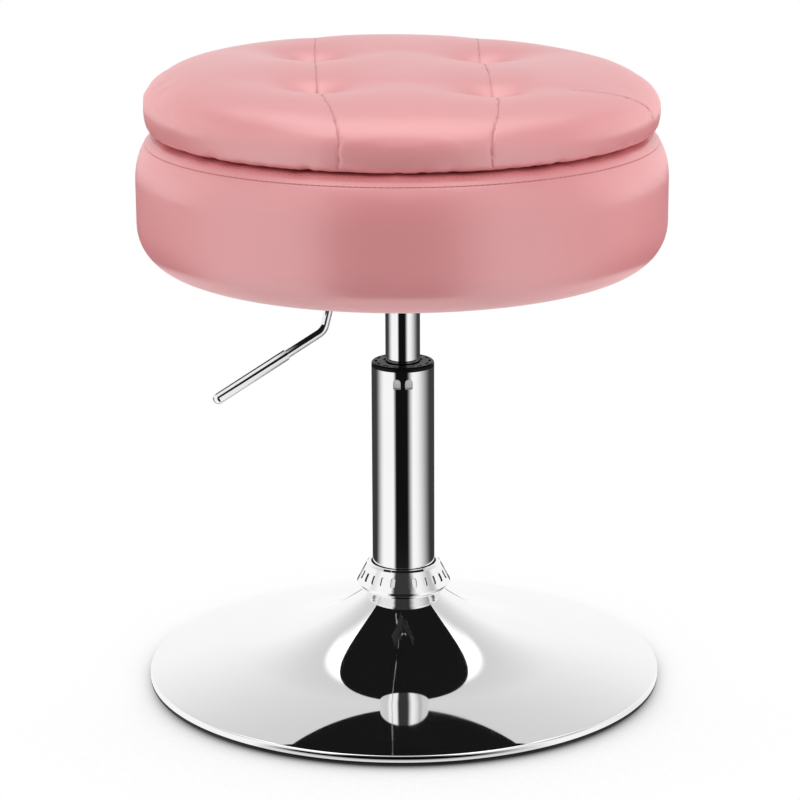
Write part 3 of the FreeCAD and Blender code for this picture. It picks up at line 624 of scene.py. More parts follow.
@dataclass(frozen=True)
class Stitching:
    """A row of sewn stitches set out by Geometry Nodes.

    Attributes:
        pitch: distance from stitch to stitch.
        length: length of a stitch.
        thickness: thickness of the thread.
    """

    pitch: float
    length: float
    thickness: float

    def tree(self) -> bpy.types.NodeTree:
        """Returns the node group that lays a bead of thread along every step of a line."""
        name = "stitches"
        if name in bpy.data.node_groups:
            return bpy.data.node_groups[name]
        tree = bpy.data.node_groups.new(name, "GeometryNodeTree")
        tree.interface.new_socket("Geometry", in_out="INPUT", socket_type="NodeSocketGeometry")
        for label in ("Pitch", "Length", "Thickness"):
            tree.interface.new_socket(label, in_out="INPUT", socket_type="NodeSocketFloat")
        tree.interface.new_socket("Geometry", in_out="OUTPUT", socket_type="NodeSocketGeometry")
        nodes = Shader(tree)
        given = nodes.add("NodeGroupInput").outputs
        line = nodes.add("GeometryNodeMeshToCurve", {"Mesh": given["Geometry"]}).outputs[0]
        line = nodes.add("GeometryNodeResampleCurve", {"Curve": line, "Length": given["Pitch"]},
                         mode="LENGTH").outputs[0]
        along = nodes.add("GeometryNodeInputTangent").outputs[0]
        turn = nodes.add("FunctionNodeAlignRotationToVector", {"Vector": along}, axis="X").outputs[0]
        bead = nodes.add("GeometryNodeMeshUVSphere", {"Segments": 8, "Rings": 5, "Radius": 0.5}).outputs[0]
        size = nodes.add("ShaderNodeCombineXYZ", {0: given["Length"], 1: given["Thickness"],
                                                  2: given["Thickness"]}).outputs[0]
        beads = nodes.add("GeometryNodeInstanceOnPoints", {
            "Points": line, "Instance": bead, "Rotation": turn, "Scale": size}).outputs[0]
        beads = nodes.add("GeometryNodeRealizeInstances", {0: beads}).outputs[0]
        beads = nodes.add("GeometryNodeSetMaterial", {
            "Geometry": beads, "Material": FINISHES[Slot.THREAD].material()}).outputs[0]
        nodes.add("NodeGroupOutput", {0: beads})
        return tree

    def sew(self, maker: Maker, name: str, lines: Sequence[Sequence], body: Body) -> None:
        """Sews along lines and hands the thread to the frame.

        Args:
            maker: makes and finishes the piece.
            name: name of the thread.
            lines: points of each line, in order.
            body: body that the thread rides on.
        """
        points = [tuple(p) for line in lines for p in line]
        edges, start = [], 0
        for line in lines:
            edges += [(start + i, start + i + 1) for i in range(len(line) - 1)]
            start += len(line)
        data = bpy.data.meshes.new(name)
        data.from_pydata(points, edges, [])
        thread = add_object(name, data)
        laid = thread.modifiers.new("stitches", "NODES")
        laid.node_group = self.tree()
        sizes = {"Pitch": self.pitch, "Length": self.length, "Thickness": self.thickness}
        for item in laid.node_group.interface.items_tree:
            if item.name in sizes:
                laid[item.identifier] = sizes[item.name]
        maker.plain(thread)
        maker.finish(maker.smooth(thread), body, Slot.THREAD)


@dataclass
class Lid:
    """Tufted lid: a crowned cushion pulled in at four tufts, sewn from panels.

    Attributes:
        radius: radius at its widest.
        foot: height of the flat underside.
        top: height of the crown.
        slack: how much smaller the cover starts before the filling presses it out.
        crown_deg: slope where the flat crown ends.
        shoulder: radius and end slope of the shoulder; brow likewise.
        edge_r: radius of the edge down to the widest line.
        tuck: radius and angle of the drawn-in side.
        foot_r: radius of the lower corner.
        tufts: places of the tufts in plan.
        tuft_deep: depth of a tuft below the crown.
        tuft_reach: how wide the cover is drawn down round a tuft.
        still_r: radius outside which the tufts and seams pull no more.
        still_w: width over which that pull fades.
        pull_h: height above the underside at which the pull is full.
        seam_deep: depth of the dip along a seam.
        seam_reach: width of that dip.
        fold_deep: depth of a soft unsewn valley.
        fold_reach: width of that valley.
        crease_deep: depth of the crease at a seam.
        settle: how the crown has settled: slope to the right, slope to the back, and drop.
        settle_h: height above the underside at which the settling is full.
        board_h: height up to which the board holds the cover.
        seam_hold: reach and firmness of a seam's hold on the cover.
        tie_r: radius that a tie holds.
        cut_w: how far beside a seam the mesh is cut.
        cut_past: how far past a seam's span the mesh is cut.
        slip: how far past the span a cut point still belongs to the seam.
        pucker_deep: depth of the gathers along the lower edge.
        pucker_h: height of the gathers.
        pucker_w: width of the gathered rim, and of its start.
        pucker_lift: rise of the gathers, as a share of their depth.
        sharp_deg: angle from which an edge is shaded sharp.
        swell: how the filling presses the cover out.
        thread: stitches of the seams.
        thread_out: how far the thread lies outside the cover.
    """

    UNDERSIDE = -0.6
    DOWN_WEIGHT = 0.8

    radius: float = 0.1853
    foot: float = 0.4118
    top: float = 0.4650
    slack: float = 0.0012
    crown_deg: float = 2.0
    shoulder: tuple[float, float] = (0.250, 16.0)
    brow: tuple[float, float] = (0.032, 42.0)
    edge_r: float = 0.015
    tuck: tuple[float, float] = (0.040, 10.0)
    foot_r: float = 0.006
    tufts: tuple = ((-0.0585, -0.068), (0.0630, -0.077), (-0.0635, 0.053), (0.0580, 0.054))
    tuft_deep: float = 0.016
    tuft_reach: float = 0.020
    still_r: float = 0.155
    still_w: float = 0.05
    pull_h: float = 0.03
    seam_deep: float = 0.0026
    seam_reach: float = 0.008
    fold_deep: float = 0.0020
    fold_reach: float = 0.015
    crease_deep: float = 0.0006
    settle: tuple[float, float, float] = (-0.014, 0.022, -0.0028)
    settle_h: float = 0.025
    board_h: float = 0.012
    seam_hold: tuple[float, float] = (0.004, 0.5)
    tie_r: float = 0.007
    cut_w: float = 0.006
    cut_past: float = 0.002
    slip: float = 0.0005
    pucker_deep: float = 0.0009
    pucker_h: float = 0.011
    pucker_w: tuple[float, float] = (0.018, 0.006)
    pucker_lift: float = 0.6
    sharp_deg: float = 80.0
    swell: Swell = Swell()
    thread: Stitching = Stitching(0.0032, 0.0027, 0.0004)
    thread_out: float = 0.0002

    def seams(self) -> dict[str, list]:
        """Returns the sewn lines in plan, from a tuft outwards."""
        front_left, front_right, back_left, back_right = self.tufts
        return {
            "left_middle": [front_left, back_left],
            "left_front": [front_left, (-0.0560, -0.092), (-0.0520, -0.122), (-0.0455, -0.155), (-0.0400, -0.190)],
            "left_back": [back_left, (-0.0665, 0.185)],
            "right_middle": [front_right, back_right],
            "right_front": [front_right, (0.0652, -0.120), (0.0640, -0.150), (0.0600, -0.172), (0.0548, -0.190)],
            "right_back": [back_right, (0.0560, 0.190)],
            "right_side": [(0.116, -0.0765), (0.140, -0.0735), (0.162, -0.0680), (0.190, -0.0520)],
        }

    def folds(self) -> list[list]:
        """Returns the soft unsewn valleys in plan."""
        front_left, front_right, back_left, back_right = self.tufts
        return [[front_left, front_right], [back_left, back_right], [front_left, (-0.130, -0.066)],
                [front_right, (0.125, -0.0760)], [back_left, (-0.130, 0.066)], [back_right, (0.130, 0.070)]]

    def line(self) -> list[tuple[float, float]]:
        """Returns the profile from the axis over the crown and back along the underside."""
        arcs = [self.shoulder, self.brow, (self.edge_r, 90.0)]
        reach, slope = 0.0, self.crown_deg
        for r, end in arcs:
            reach += r * (math.sin(math.radians(end)) - math.sin(math.radians(slope)))
            slope = end
        profile = Profile(0, self.top - self.slack, 0)
        profile.bend((self.radius - reach) / math.sin(math.radians(self.crown_deg)), -self.crown_deg)
        for r, end in arcs:
            profile.bend(r, -end)
        tuck_r, tuck_deg = self.tuck
        profile.bend(tuck_r, -90 - tuck_deg)
        lean = math.radians(tuck_deg)
        drop = profile.points[-1][1] - self.foot - self.foot_r * (1 - math.sin(lean))
        profile.run(drop / math.cos(lean)).bend(self.foot_r, -180)
        return profile.to(0, self.foot, parts=8).points

    @staticmethod
    def off_line(places: np.ndarray, path: Sequence) -> np.ndarray:
        """Returns the distance in plan from each place to a line of straight spans."""
        nearest = np.full(len(places), np.inf)
        for a, b in zip(np.array(path[:-1]), np.array(path[1:])):
            span = b - a
            share = np.clip((places[:, :2] - a) @ span / (span @ span), 0, 1)
            nearest = np.minimum(nearest, np.linalg.norm(places[:, :2] - a - share[:, None] * span, axis=1))
        return nearest

    def off_tuft(self, places: np.ndarray) -> np.ndarray:
        """Returns the distance in plan from each place to the nearest tuft."""
        return np.min([np.linalg.norm(places[:, :2] - t, axis=1) for t in np.array(self.tufts)], axis=0)

    def draw_in(self, piece: Piece) -> None:
        """Pulls the even cover in at the tufts and along the seams and folds, and settles the crown."""
        places = vertex_places(piece)
        depth = self.tuft_deep * np.exp(-self.off_tuft(places) / self.tuft_reach)
        for path in self.seams().values():
            depth += self.seam_deep * np.exp(-self.off_line(places, path) / self.seam_reach)
        for path in self.folds():
            depth += self.fold_deep * np.exp(-(self.off_line(places, path) / self.fold_reach) ** 2)
        inside = share_of(self.still_r - off_axis(places), self.still_w)
        inside *= share_of(places[:, 2] - self.foot, self.pull_h)
        places[:, 2] -= depth * inside
        sides, front, down = self.settle
        raised = share_of(places[:, 2] - self.foot, self.settle_h)
        places[:, 2] += raised * (places[:, 0] * sides + places[:, 1] * front + down)
        place_vertices(piece, places)

    def pins(self, piece: Piece) -> np.ndarray:
        """Returns how firmly the board, the ties and the seams hold each point of the cover."""
        places = vertex_places(piece)
        held = np.where(places[:, 2] < self.foot + self.board_h, 1.0, 0.0)
        seam_w, firm = self.seam_hold
        for path in self.seams().values():
            held = np.maximum(held, np.where(self.off_line(places, path) < seam_w, firm, 0))
        return np.maximum(held, np.where(self.off_tuft(places) < self.tie_r, 1.0, 0))

    def cut(self, work: bmesh.types.BMesh, path: Sequence) -> list[bmesh.types.BMVert]:
        """Cuts one seam into the mesh.

        Args:
            work: mesh of the cover.
            path: the seam in plan.
        Returns:
            Points along the seam, in order.
        """
        chain: list[tuple[float, bmesh.types.BMVert]] = []
        before = 0.0
        for a, b in zip(path[:-1], path[1:]):
            start, span = Vector((*a, 0)), Vector((*b, 0)) - Vector((*a, 0))
            along = span.normalized()
            across = Vector((-along.y, along.x, 0))
            near = []
            for face in work.faces:
                offset = face.calc_center_median() - start
                inside = -self.cut_past < offset.dot(along) < span.length + self.cut_past
                if inside and abs(offset.dot(across)) < self.cut_w and face.normal.z > self.UNDERSIDE:
                    near.append(face)
            geometry = {e for f in near for e in f.edges} | {v for f in near for v in f.verts} | set(near)
            made = bmesh.ops.bisect_plane(work, geom=list(geometry), plane_co=start, plane_no=across, dist=MERGE)
            for vertex in made["geom_cut"]:
                if isinstance(vertex, bmesh.types.BMVert):
                    step = (vertex.co - start).dot(along)
                    if -self.slip <= step <= span.length + self.slip:
                        chain.append((before + step - self.DOWN_WEIGHT * vertex.co.z, vertex))
            before += span.length
        return [vertex for _, vertex in sorted(chain, key=lambda item: item[0])]

    def crease(self, piece: Piece) -> list[list[Vector]]:
        """Cuts the seams into the mesh, draws them in and marks them for the shade painted darker along them.

        Args:
            piece: the swelled cover.
        Returns:
            Points along the thread of each seam, in order.
        """
        work = bmesh.new()
        work.from_mesh(piece.data)
        painted_seam_shade = work.verts.layers.float.new("seam")
        lines = [self.cut(work, path) for path in self.seams().values()]
        work.normal_update()
        for chain in lines:
            for vertex in set(chain):
                vertex.co -= vertex.normal * self.crease_deep
                # painted shade: marks the seam for the darker seam colour of the leather
                vertex[painted_seam_shade] = 1.0
        stitches = [[v.co + v.normal * self.thread_out for v in chain] for chain in lines]
        work.to_mesh(piece.data)
        work.free()
        return stitches

    def pucker(self, piece: Piece) -> None:
        """Gathers the lower edge a little, as cloth turned under a board does."""
        places = vertex_places(piece)
        angle = np.arctan2(places[:, 1], places[:, 0])
        low = np.clip(1 - (places[:, 2] - self.foot) / self.pucker_h, 0, 1) ** 2
        reach = off_axis(places)
        rim_w, start_w = self.pucker_w
        rim = share_of(reach - self.radius + rim_w, start_w)
        wave = ripple(angle, waves=(31, 43, 58, 71), seed=4) * self.pucker_deep * low * rim
        places[:, :2] *= (1 - wave / np.maximum(reach, MM))[:, None]
        places[:, 2] += np.abs(wave) * self.pucker_lift
        place_vertices(piece, places)

    def build(self, maker: Maker) -> None:
        """Builds the cushion and its seams."""
        cushion = maker.revolve("lid_cushion", self.line(), segments=160)
        self.swell.even(maker, cushion)
        self.draw_in(cushion)
        self.swell.inflate(maker, cushion, self.pins(cushion))
        stitches = self.crease(cushion)
        self.pucker(cushion)
        maker.finish(maker.smooth(cushion, self.sharp_deg), Body.LID, Slot.LEATHER, "lid_cover", "lid_foam")
        self.thread.sew(maker, "lid_thread", stitches, Body.LID)


@dataclass
class Drum:
    """Padded storage drum: a smooth side rolled under the floor board and a band sewn on round the rim.

    Attributes:
        radius: outer radius.
        foot: height of the padded roll's foot.
        board: height of the floor board's underside, where the roll starts.
        roll: radius of the roll's inner turn.
        roll_in: inner radius of the roll.
        corner: radius of the lower corner.
        top: height of the rim.
        shoulder: radius and turn of the soft shoulder, up to the line where the band is sewn on.
        top_corner: radius of the band's turn onto the rim.
        mouth: radius of the storage space's mouth.
        wall_r: outer radius of the wall.
        hem: how far the band turns down inside.
        hem_r: radius of that turn.
        skin: thickness of the cover.
        lap: how far the band lies over the side.
        loose: how far the flat of the band rises and falls.
        flat_out: how far inside the outer radius that flat starts, and the width over which it comes loose.
        flat_in: the same outside the mouth.
        slack: how much smaller the side starts before the padding presses it out.
        tuck: how far the side runs on under the band, inwards and up.
        held_low: how far above the foot the side stays held, and the height over which it comes free.
        held_high: the same below the stitch line.
        held_in: how far outside the wall the side stays held.
        sharp_deg: angle from which an edge is shaded sharp.
        swell: how the padding presses the side out.
        thread: stitches between the side and the band.
        thread_out: how far they lie outside the side.
        row_r: radius of the second row of stitches.
        row: stitches of that row.
        row_up: how far they lie above the band.
    """

    radius: float = 0.192
    foot: float = 0.3145
    board: float = 0.3245
    roll: float = 0.010
    roll_in: float = 0.146
    corner: float = 0.034
    top: float = 0.4115
    shoulder: tuple[float, float] = (0.045, 35.0)
    top_corner: float = 0.016
    mouth: float = 0.1578
    wall_r: float = 0.168
    hem: float = 0.016
    hem_r: float = 0.003
    skin: float = 0.0012
    lap: float = 0.0003
    loose: float = 0.0003
    flat_out: tuple[float, float] = (0.010, 0.006)
    flat_in: tuple[float, float] = (0.002, 0.004)
    slack: float = 0.0008
    tuck: tuple[float, float] = (0.004, 0.0005)
    held_low: tuple[float, float] = (0.012, 0.02)
    held_high: tuple[float, float] = (0.004, 0.015)
    held_in: float = 0.004
    sharp_deg: float = 60.0
    swell: Swell = Swell(0.005, 3.0, 16, 0.0025, 0)
    thread: Stitching = Stitching(0.0042, 0.0034, 0.00042)
    thread_out: float = 0.0002
    row_r: float = 0.179
    row: Stitching = Stitching(0.0042, 0.0028, 0.00034)
    row_up: float = 0.0003

    def side_line(self) -> Profile:
        """Returns the outside from under the floor board round the roll and up to the stitch line."""
        profile = Profile(self.roll_in, self.board, -90).bend(self.roll, 0)
        profile.to(self.radius - self.corner, self.foot).bend(self.corner, 90)
        soft_r, soft_deg = self.shoulder
        turn = math.radians(soft_deg)
        rise = soft_r * math.sin(turn) + self.top_corner * (1 - math.sin(turn))
        return profile.to(self.radius, self.top - rise, parts=9).bend(soft_r, 90 + soft_deg)

    def side(self, maker: Maker) -> list[Vector]:
        """Builds the padded side.

        Args:
            maker: makes and finishes the piece.
        Returns:
            Points of the stitch line round the rim.
        """
        line = self.side_line().points
        seam_r, seam_z = line[-1]
        tuck_in, tuck_up = self.tuck
        line = line + [(seam_r - tuck_in, seam_z + tuck_up), (self.wall_r, seam_z), (self.wall_r, self.board)]
        side = maker.revolve("drum_side", line, segments=192)
        places = vertex_places(side)
        low, low_w = self.held_low
        high, high_w = self.held_high
        free = share_of(places[:, 2] - self.foot - low, low_w)
        free *= share_of(seam_z - high - places[:, 2], high_w)
        reach = off_axis(places)
        outer = reach > self.wall_r + self.held_in
        shrink = np.where(outer, 1 - self.slack * free / reach, 1)
        places[:, :2] *= shrink[:, None]
        place_vertices(side, places)
        self.swell.inflate(maker, side, np.where(outer, 1 - free, 1.0))
        maker.finish(maker.smooth(side, self.sharp_deg), Body.SEAT, Slot.LEATHER, "drum_side_cover", "drum_padding")
        return self.round(seam_r + self.thread_out, seam_z)

    @staticmethod
    def round(reach: float, up: float) -> list[Vector]:
        """Returns points of a level circle about the column's axis."""
        return [Vector((math.cos(a) * reach, math.sin(a) * reach, up)) for a in np.linspace(0, 2 * math.pi, num=721)]

    def band(self, maker: Maker) -> None:
        """Builds the band from the stitch line over the rim and down inside the wall."""
        seam = self.side_line()
        profile = Profile(*seam.points[-1], seam.heading).bend(self.top_corner, 180)
        profile.to(self.mouth + self.hem_r, self.top, parts=3).bend(self.hem_r, 270).run(self.hem)
        loop = profile.skin(self.skin)
        loop[:, 0] += self.lap
        (out, out_w), (near, near_w) = self.flat_out, self.flat_in

        def loosen(a: np.ndarray, r: np.ndarray, z: np.ndarray) -> tuple[np.ndarray, ...]:
            """Lets the flat of the band rise and fall between its two turns."""
            flat = share_of(self.radius - out - r, out_w) * share_of(r - self.mouth - near, near_w)
            return a, r, z + flat * self.loose * ripple(a, waves=(19, 27, 41), seed=9)

        band = maker.revolve("drum_band", loop, segments=360, shift=loosen)
        maker.finish(maker.smooth(band, self.sharp_deg), Body.SEAT, Slot.LEATHER, "drum_top_band")

    def build(self, maker: Maker) -> None:
        """Builds the side, the band, the sewn line between them and the second row of stitches on the band."""
        stitch_line = self.side(maker)
        self.band(maker)
        self.thread.sew(maker, "rim_thread", [stitch_line], Body.SEAT)
        inner = stitch_line[0].x - self.top_corner * math.cos(math.radians(self.shoulder[1]))
        drop = self.top_corner - math.sqrt(self.top_corner ** 2 - (self.row_r - inner) ** 2)
        self.row.sew(maker, "band_thread", [self.round(self.row_r, self.top - drop + self.row_up)], Body.SEAT)


@dataclass
class Base:
    """Chromed trumpet base, spun from sheet.

    Attributes:
        radius: outer radius.
        sheet: thickness of the sheet.
        lip_foot: height of the lip's foot, on the rubber ring.
        rim: height of the rim.
        rim_round: radius of the rim's rolled edge.
        dome_deg: slope of the dome at the rim and where it turns into the flare.
        dome_w: width of the dome.
        flare_deg: slope of the flare at the neck.
        neck_r: radius of the neck.
        neck_round: radius of the fold between flare and neck.
        neck_h: height of the neck, inside the collar.
        sharp_deg: angle from which an edge is shaded sharp.
    """

    radius: float = 0.190
    sheet: float = 0.0012
    lip_foot: float = 0.0025
    rim: float = 0.0074
    rim_round: float = 0.0016
    dome_deg: tuple[float, float] = (13.5, 10.0)
    dome_w: float = 0.064
    flare_deg: float = 39.0
    neck_r: float = 0.02565
    neck_round: float = 0.0005
    neck_h: float = 0.008
    sharp_deg: float = 50.0

    def build(self, maker: Maker) -> None:
        """Builds the shell as a fine turned skin, so that it mirrors smoothly."""
        edge, ease, flare = (math.sin(math.radians(a)) for a in (*self.dome_deg, self.flare_deg))
        flare_w = self.radius - self.rim_round * (1 - edge) - self.dome_w - self.neck_r
        flare_r = (flare_w - self.neck_round * (1 - flare)) / (flare - ease)
        profile = Profile(self.radius, self.lip_foot, 90).to(self.radius, self.rim - self.rim_round, parts=2)
        profile.bend(self.rim_round, 180 - self.dome_deg[0], parts=12)
        profile.bend(self.dome_w / (edge - ease), 180 - self.dome_deg[1], parts=24)
        profile.bend(flare_r, 180 - self.flare_deg, parts=48).bend(self.neck_round, 90, parts=8).run(self.neck_h)
        shell = maker.revolve("base_trumpet", profile.skin(self.sheet), segments=360)
        maker.finish(maker.smooth(shell, self.sharp_deg), Body.BASE, Slot.CHROME, "base_shell")


@dataclass
class Notches:
    """Sheared faces of the two lanced notches under the mouth of the column tube.

    Attributes:
        tube_r: outer radius of the tube.
        up: height of the notches.
        turn_deg: turn of each from the front.
        width: width of a notch.
        arch: rise of the round top above the middle, and the drop of the flat foot.
        deep: depth at the middle.
        lean_deg: how much deeper a notch gets downwards.
        gap: gap beside a face and behind it.
        coat: satin finish of the sheared plating.
    """

    tube_r: float = 0.023
    up: float = 0.2268
    turn_deg: float = 11.0
    width: float = 0.0056
    arch: tuple[float, float] = (0.0018, 0.0029)
    deep: float = 0.0011
    lean_deg: float = 12.0
    gap: tuple[float, float] = (0.0001, 0.00012)
    coat: Finish = Finish("sheared_plating", (0.78, 0.78, 0.77), 0.1, 0.002, 0.0, (0.4, 0.5), 0.0006, 0.00001)

    def build(self, maker: Maker) -> None:
        """Builds both faces as one piece, a hair in front of the floor of each notch."""
        half = self.width / 2 - self.gap[0]
        top, foot = self.arch
        shape = [(half * math.cos(a), top + half * math.sin(a)) for a in np.linspace(0, math.pi, num=17)]
        shape += [(-half, -foot), (half, -foot)]
        lean = math.tan(math.radians(self.lean_deg))
        points, faces = [], []
        for side in (-1, 1):
            spin = Matrix.Rotation(math.radians(-90 + side * self.turn_deg), 4, "Z")
            faces.append(tuple(range(len(points), len(points) + len(shape))))
            for across, rise in shape:
                inward = self.deep - rise * lean - self.gap[1]
                points.append(spin @ Vector((self.tube_r - inward, across, self.up + rise)))
        maker.finish(maker.mesh("notch_faces", points, faces), Body.BASE, Slot.CHROME, coat=self.coat)


@dataclass
class Linings:
    """Black cloth in the storage space, under the lid and under the drum.

    Attributes:
        wall_r: inner radius of the wall that the lining covers.
        wall_z: lower and upper edge of the lining.
        wall_slack: how far it stands off the wall.
        liner_r: radius of the loose floor, a stiff sheet wrapped in cloth.
        liner_z: lower and upper face of the loose floor.
        lid_r: radius of the cloth under the lid.
        lid_z: height of its lower face.
        lid_sag: how far it sags.
        dust_r: radius of the dust cover.
        dust_z: height of its lower face.
        dust_slack: how far it is pushed up.
        dust_hole: half side and corner radius of its square hole.
        dust_turn_deg: turn of the hole.
        thick: thickness of the cloth.
        edge: width of the edge that a disc is held by, as a share of its radius.
        uneven: share of a disc's sag that differs from wrinkle to wrinkle.
    """

    wall_r: float = 0.159
    wall_z: tuple[float, float] = (0.3365, 0.3925)
    wall_slack: float = 0.0003
    liner_r: float = 0.1579
    liner_z: tuple[float, float] = (0.3365, 0.3390)
    lid_r: float = 0.156
    lid_z: float = 0.4035
    lid_sag: float = 0.0004
    dust_r: float = 0.1575
    dust_z: float = 0.3137
    dust_slack: float = 0.0006
    dust_hole: tuple[float, float] = (0.0703, 0.0143)
    dust_turn_deg: float = 35.0
    thick: float = 0.0008
    edge: float = 0.2
    uneven: float = 0.5

    def hole_reach(self, angle: np.ndarray) -> np.ndarray:
        """Returns the reach of the rounded square hole at each angle."""
        half, corner = self.dust_hole
        turned = np.abs((angle - math.radians(self.dust_turn_deg) + math.pi / 4) % (math.pi / 2) - math.pi / 4)
        inner = half - corner
        middle = inner * (np.cos(turned) + np.sin(turned))
        arc = middle + np.sqrt(np.maximum(corner ** 2 - 2 * inner ** 2 + middle ** 2, 0))
        return np.where(np.tan(turned) * half <= inner, half / np.cos(turned), arc)

    def wall(self, maker: Maker) -> None:
        """Builds the lining of the wall."""
        low, high = self.wall_z
        face_r = self.wall_r - self.thick
        face = Profile(face_r, low, 90).to(face_r, high, parts=12)
        back = Profile(self.wall_r, high, -90).to(self.wall_r, low)

        def loosen(a: np.ndarray, r: np.ndarray, z: np.ndarray) -> tuple[np.ndarray, ...]:
            """Lets the middle of the lining stand off the wall."""
            middle = np.sin(math.pi * (z - low) / (high - low))
            off = self.wall_slack * middle * (1 + ripple(a, waves=(23, 37, 52), seed=2))
            return a, np.where(r < self.wall_r, r - off, r), z

        lining = maker.revolve("wall_lining", face.points + back.points, segments=240, shift=loosen)
        maker.finish(maker.smooth(lining), Body.SEAT, Slot.CLOTH, "drum_lining")

    def disc(self, maker: Maker, name: str, reach: float, low: float, high: float, sag: float) -> Piece:
        """Returns a round sheet with a rounded edge that sags a little from wrinkle to wrinkle."""
        edge = (high - low) / 2
        profile = Profile(0, low, 0).to(reach - edge, low, parts=20).bend(edge, 180).to(0, high, parts=20)

        def loosen(a: np.ndarray, r: np.ndarray, z: np.ndarray) -> tuple[np.ndarray, ...]:
            """Lets the sheet sag inside its edge."""
            free = (r / reach) * share_of(reach - r, self.edge * reach)
            return a, r, z - sag * free * (1 + self.uneven * ripple(a, waves=(3, 5, 8), seed=7))

        return maker.smooth(maker.revolve(name, profile.points, segments=180, shift=loosen))

    def dust_cover(self, maker: Maker) -> None:
        """Builds the cloth under the drum, with its square hole."""
        low, high = self.dust_z, self.dust_z + self.thick
        shares = Profile(0, low, 0).to(1, low, parts=16).points + Profile(1, high, 180).to(0, high, parts=16).points

        def spread(a: np.ndarray, r: np.ndarray, z: np.ndarray) -> tuple[np.ndarray, ...]:
            """Spreads shares of the way from the hole to the edge, and pushes the cloth up between them."""
            hole = self.hole_reach(a)
            sag = self.dust_slack * np.sin(math.pi * r) * (1 + ripple(a, waves=(11, 17, 26), seed=5))
            return a, hole + r * (self.dust_r - hole), z + sag

        cover = maker.revolve("dust_cloth", shares, segments=240, shift=spread)
        maker.finish(maker.smooth(cover), Body.SEAT, Slot.CLOTH, "dust_cover")

    def build(self, maker: Maker) -> None:
        """Builds all the linings."""
        self.wall(maker)
        self.dust_cover(maker)
        liner = self.disc(maker, "floor_sheet", self.liner_r, *self.liner_z, sag=0.0)
        maker.finish(liner, Body.SEAT, Slot.CLOTH, "floor_liner")
        under = self.disc(maker, "lid_cloth", self.lid_r, self.lid_z, self.lid_z + self.thick, self.lid_sag)
        maker.finish(under, Body.LID, Slot.CLOTH, "lid_underlining")


@dataclass(frozen=True)
class Lamp:
    """A square soft light that points at the middle of the stool and isn't mirrored.

    Attributes:
        name: name of the light.
        place: where it stands.
        size: side of the square.
        watts: its power.
    """

    AIM = (0, 0, 0.3)

    name: str
    place: tuple[float, float, float]
    size: float
    watts: float

    def build(self) -> None:
        """Adds the light."""
        data = bpy.data.lights.new(self.name, "AREA")
        data.size = self.size
        data.energy = self.watts
        made = add_object(self.name, data)
        made.visible_glossy = False
        away = Vector(self.place) - Vector(self.AIM)
        made.matrix_world = Matrix.Translation(self.place) @ away.to_track_quat("Z", "Y").to_matrix().to_4x4()


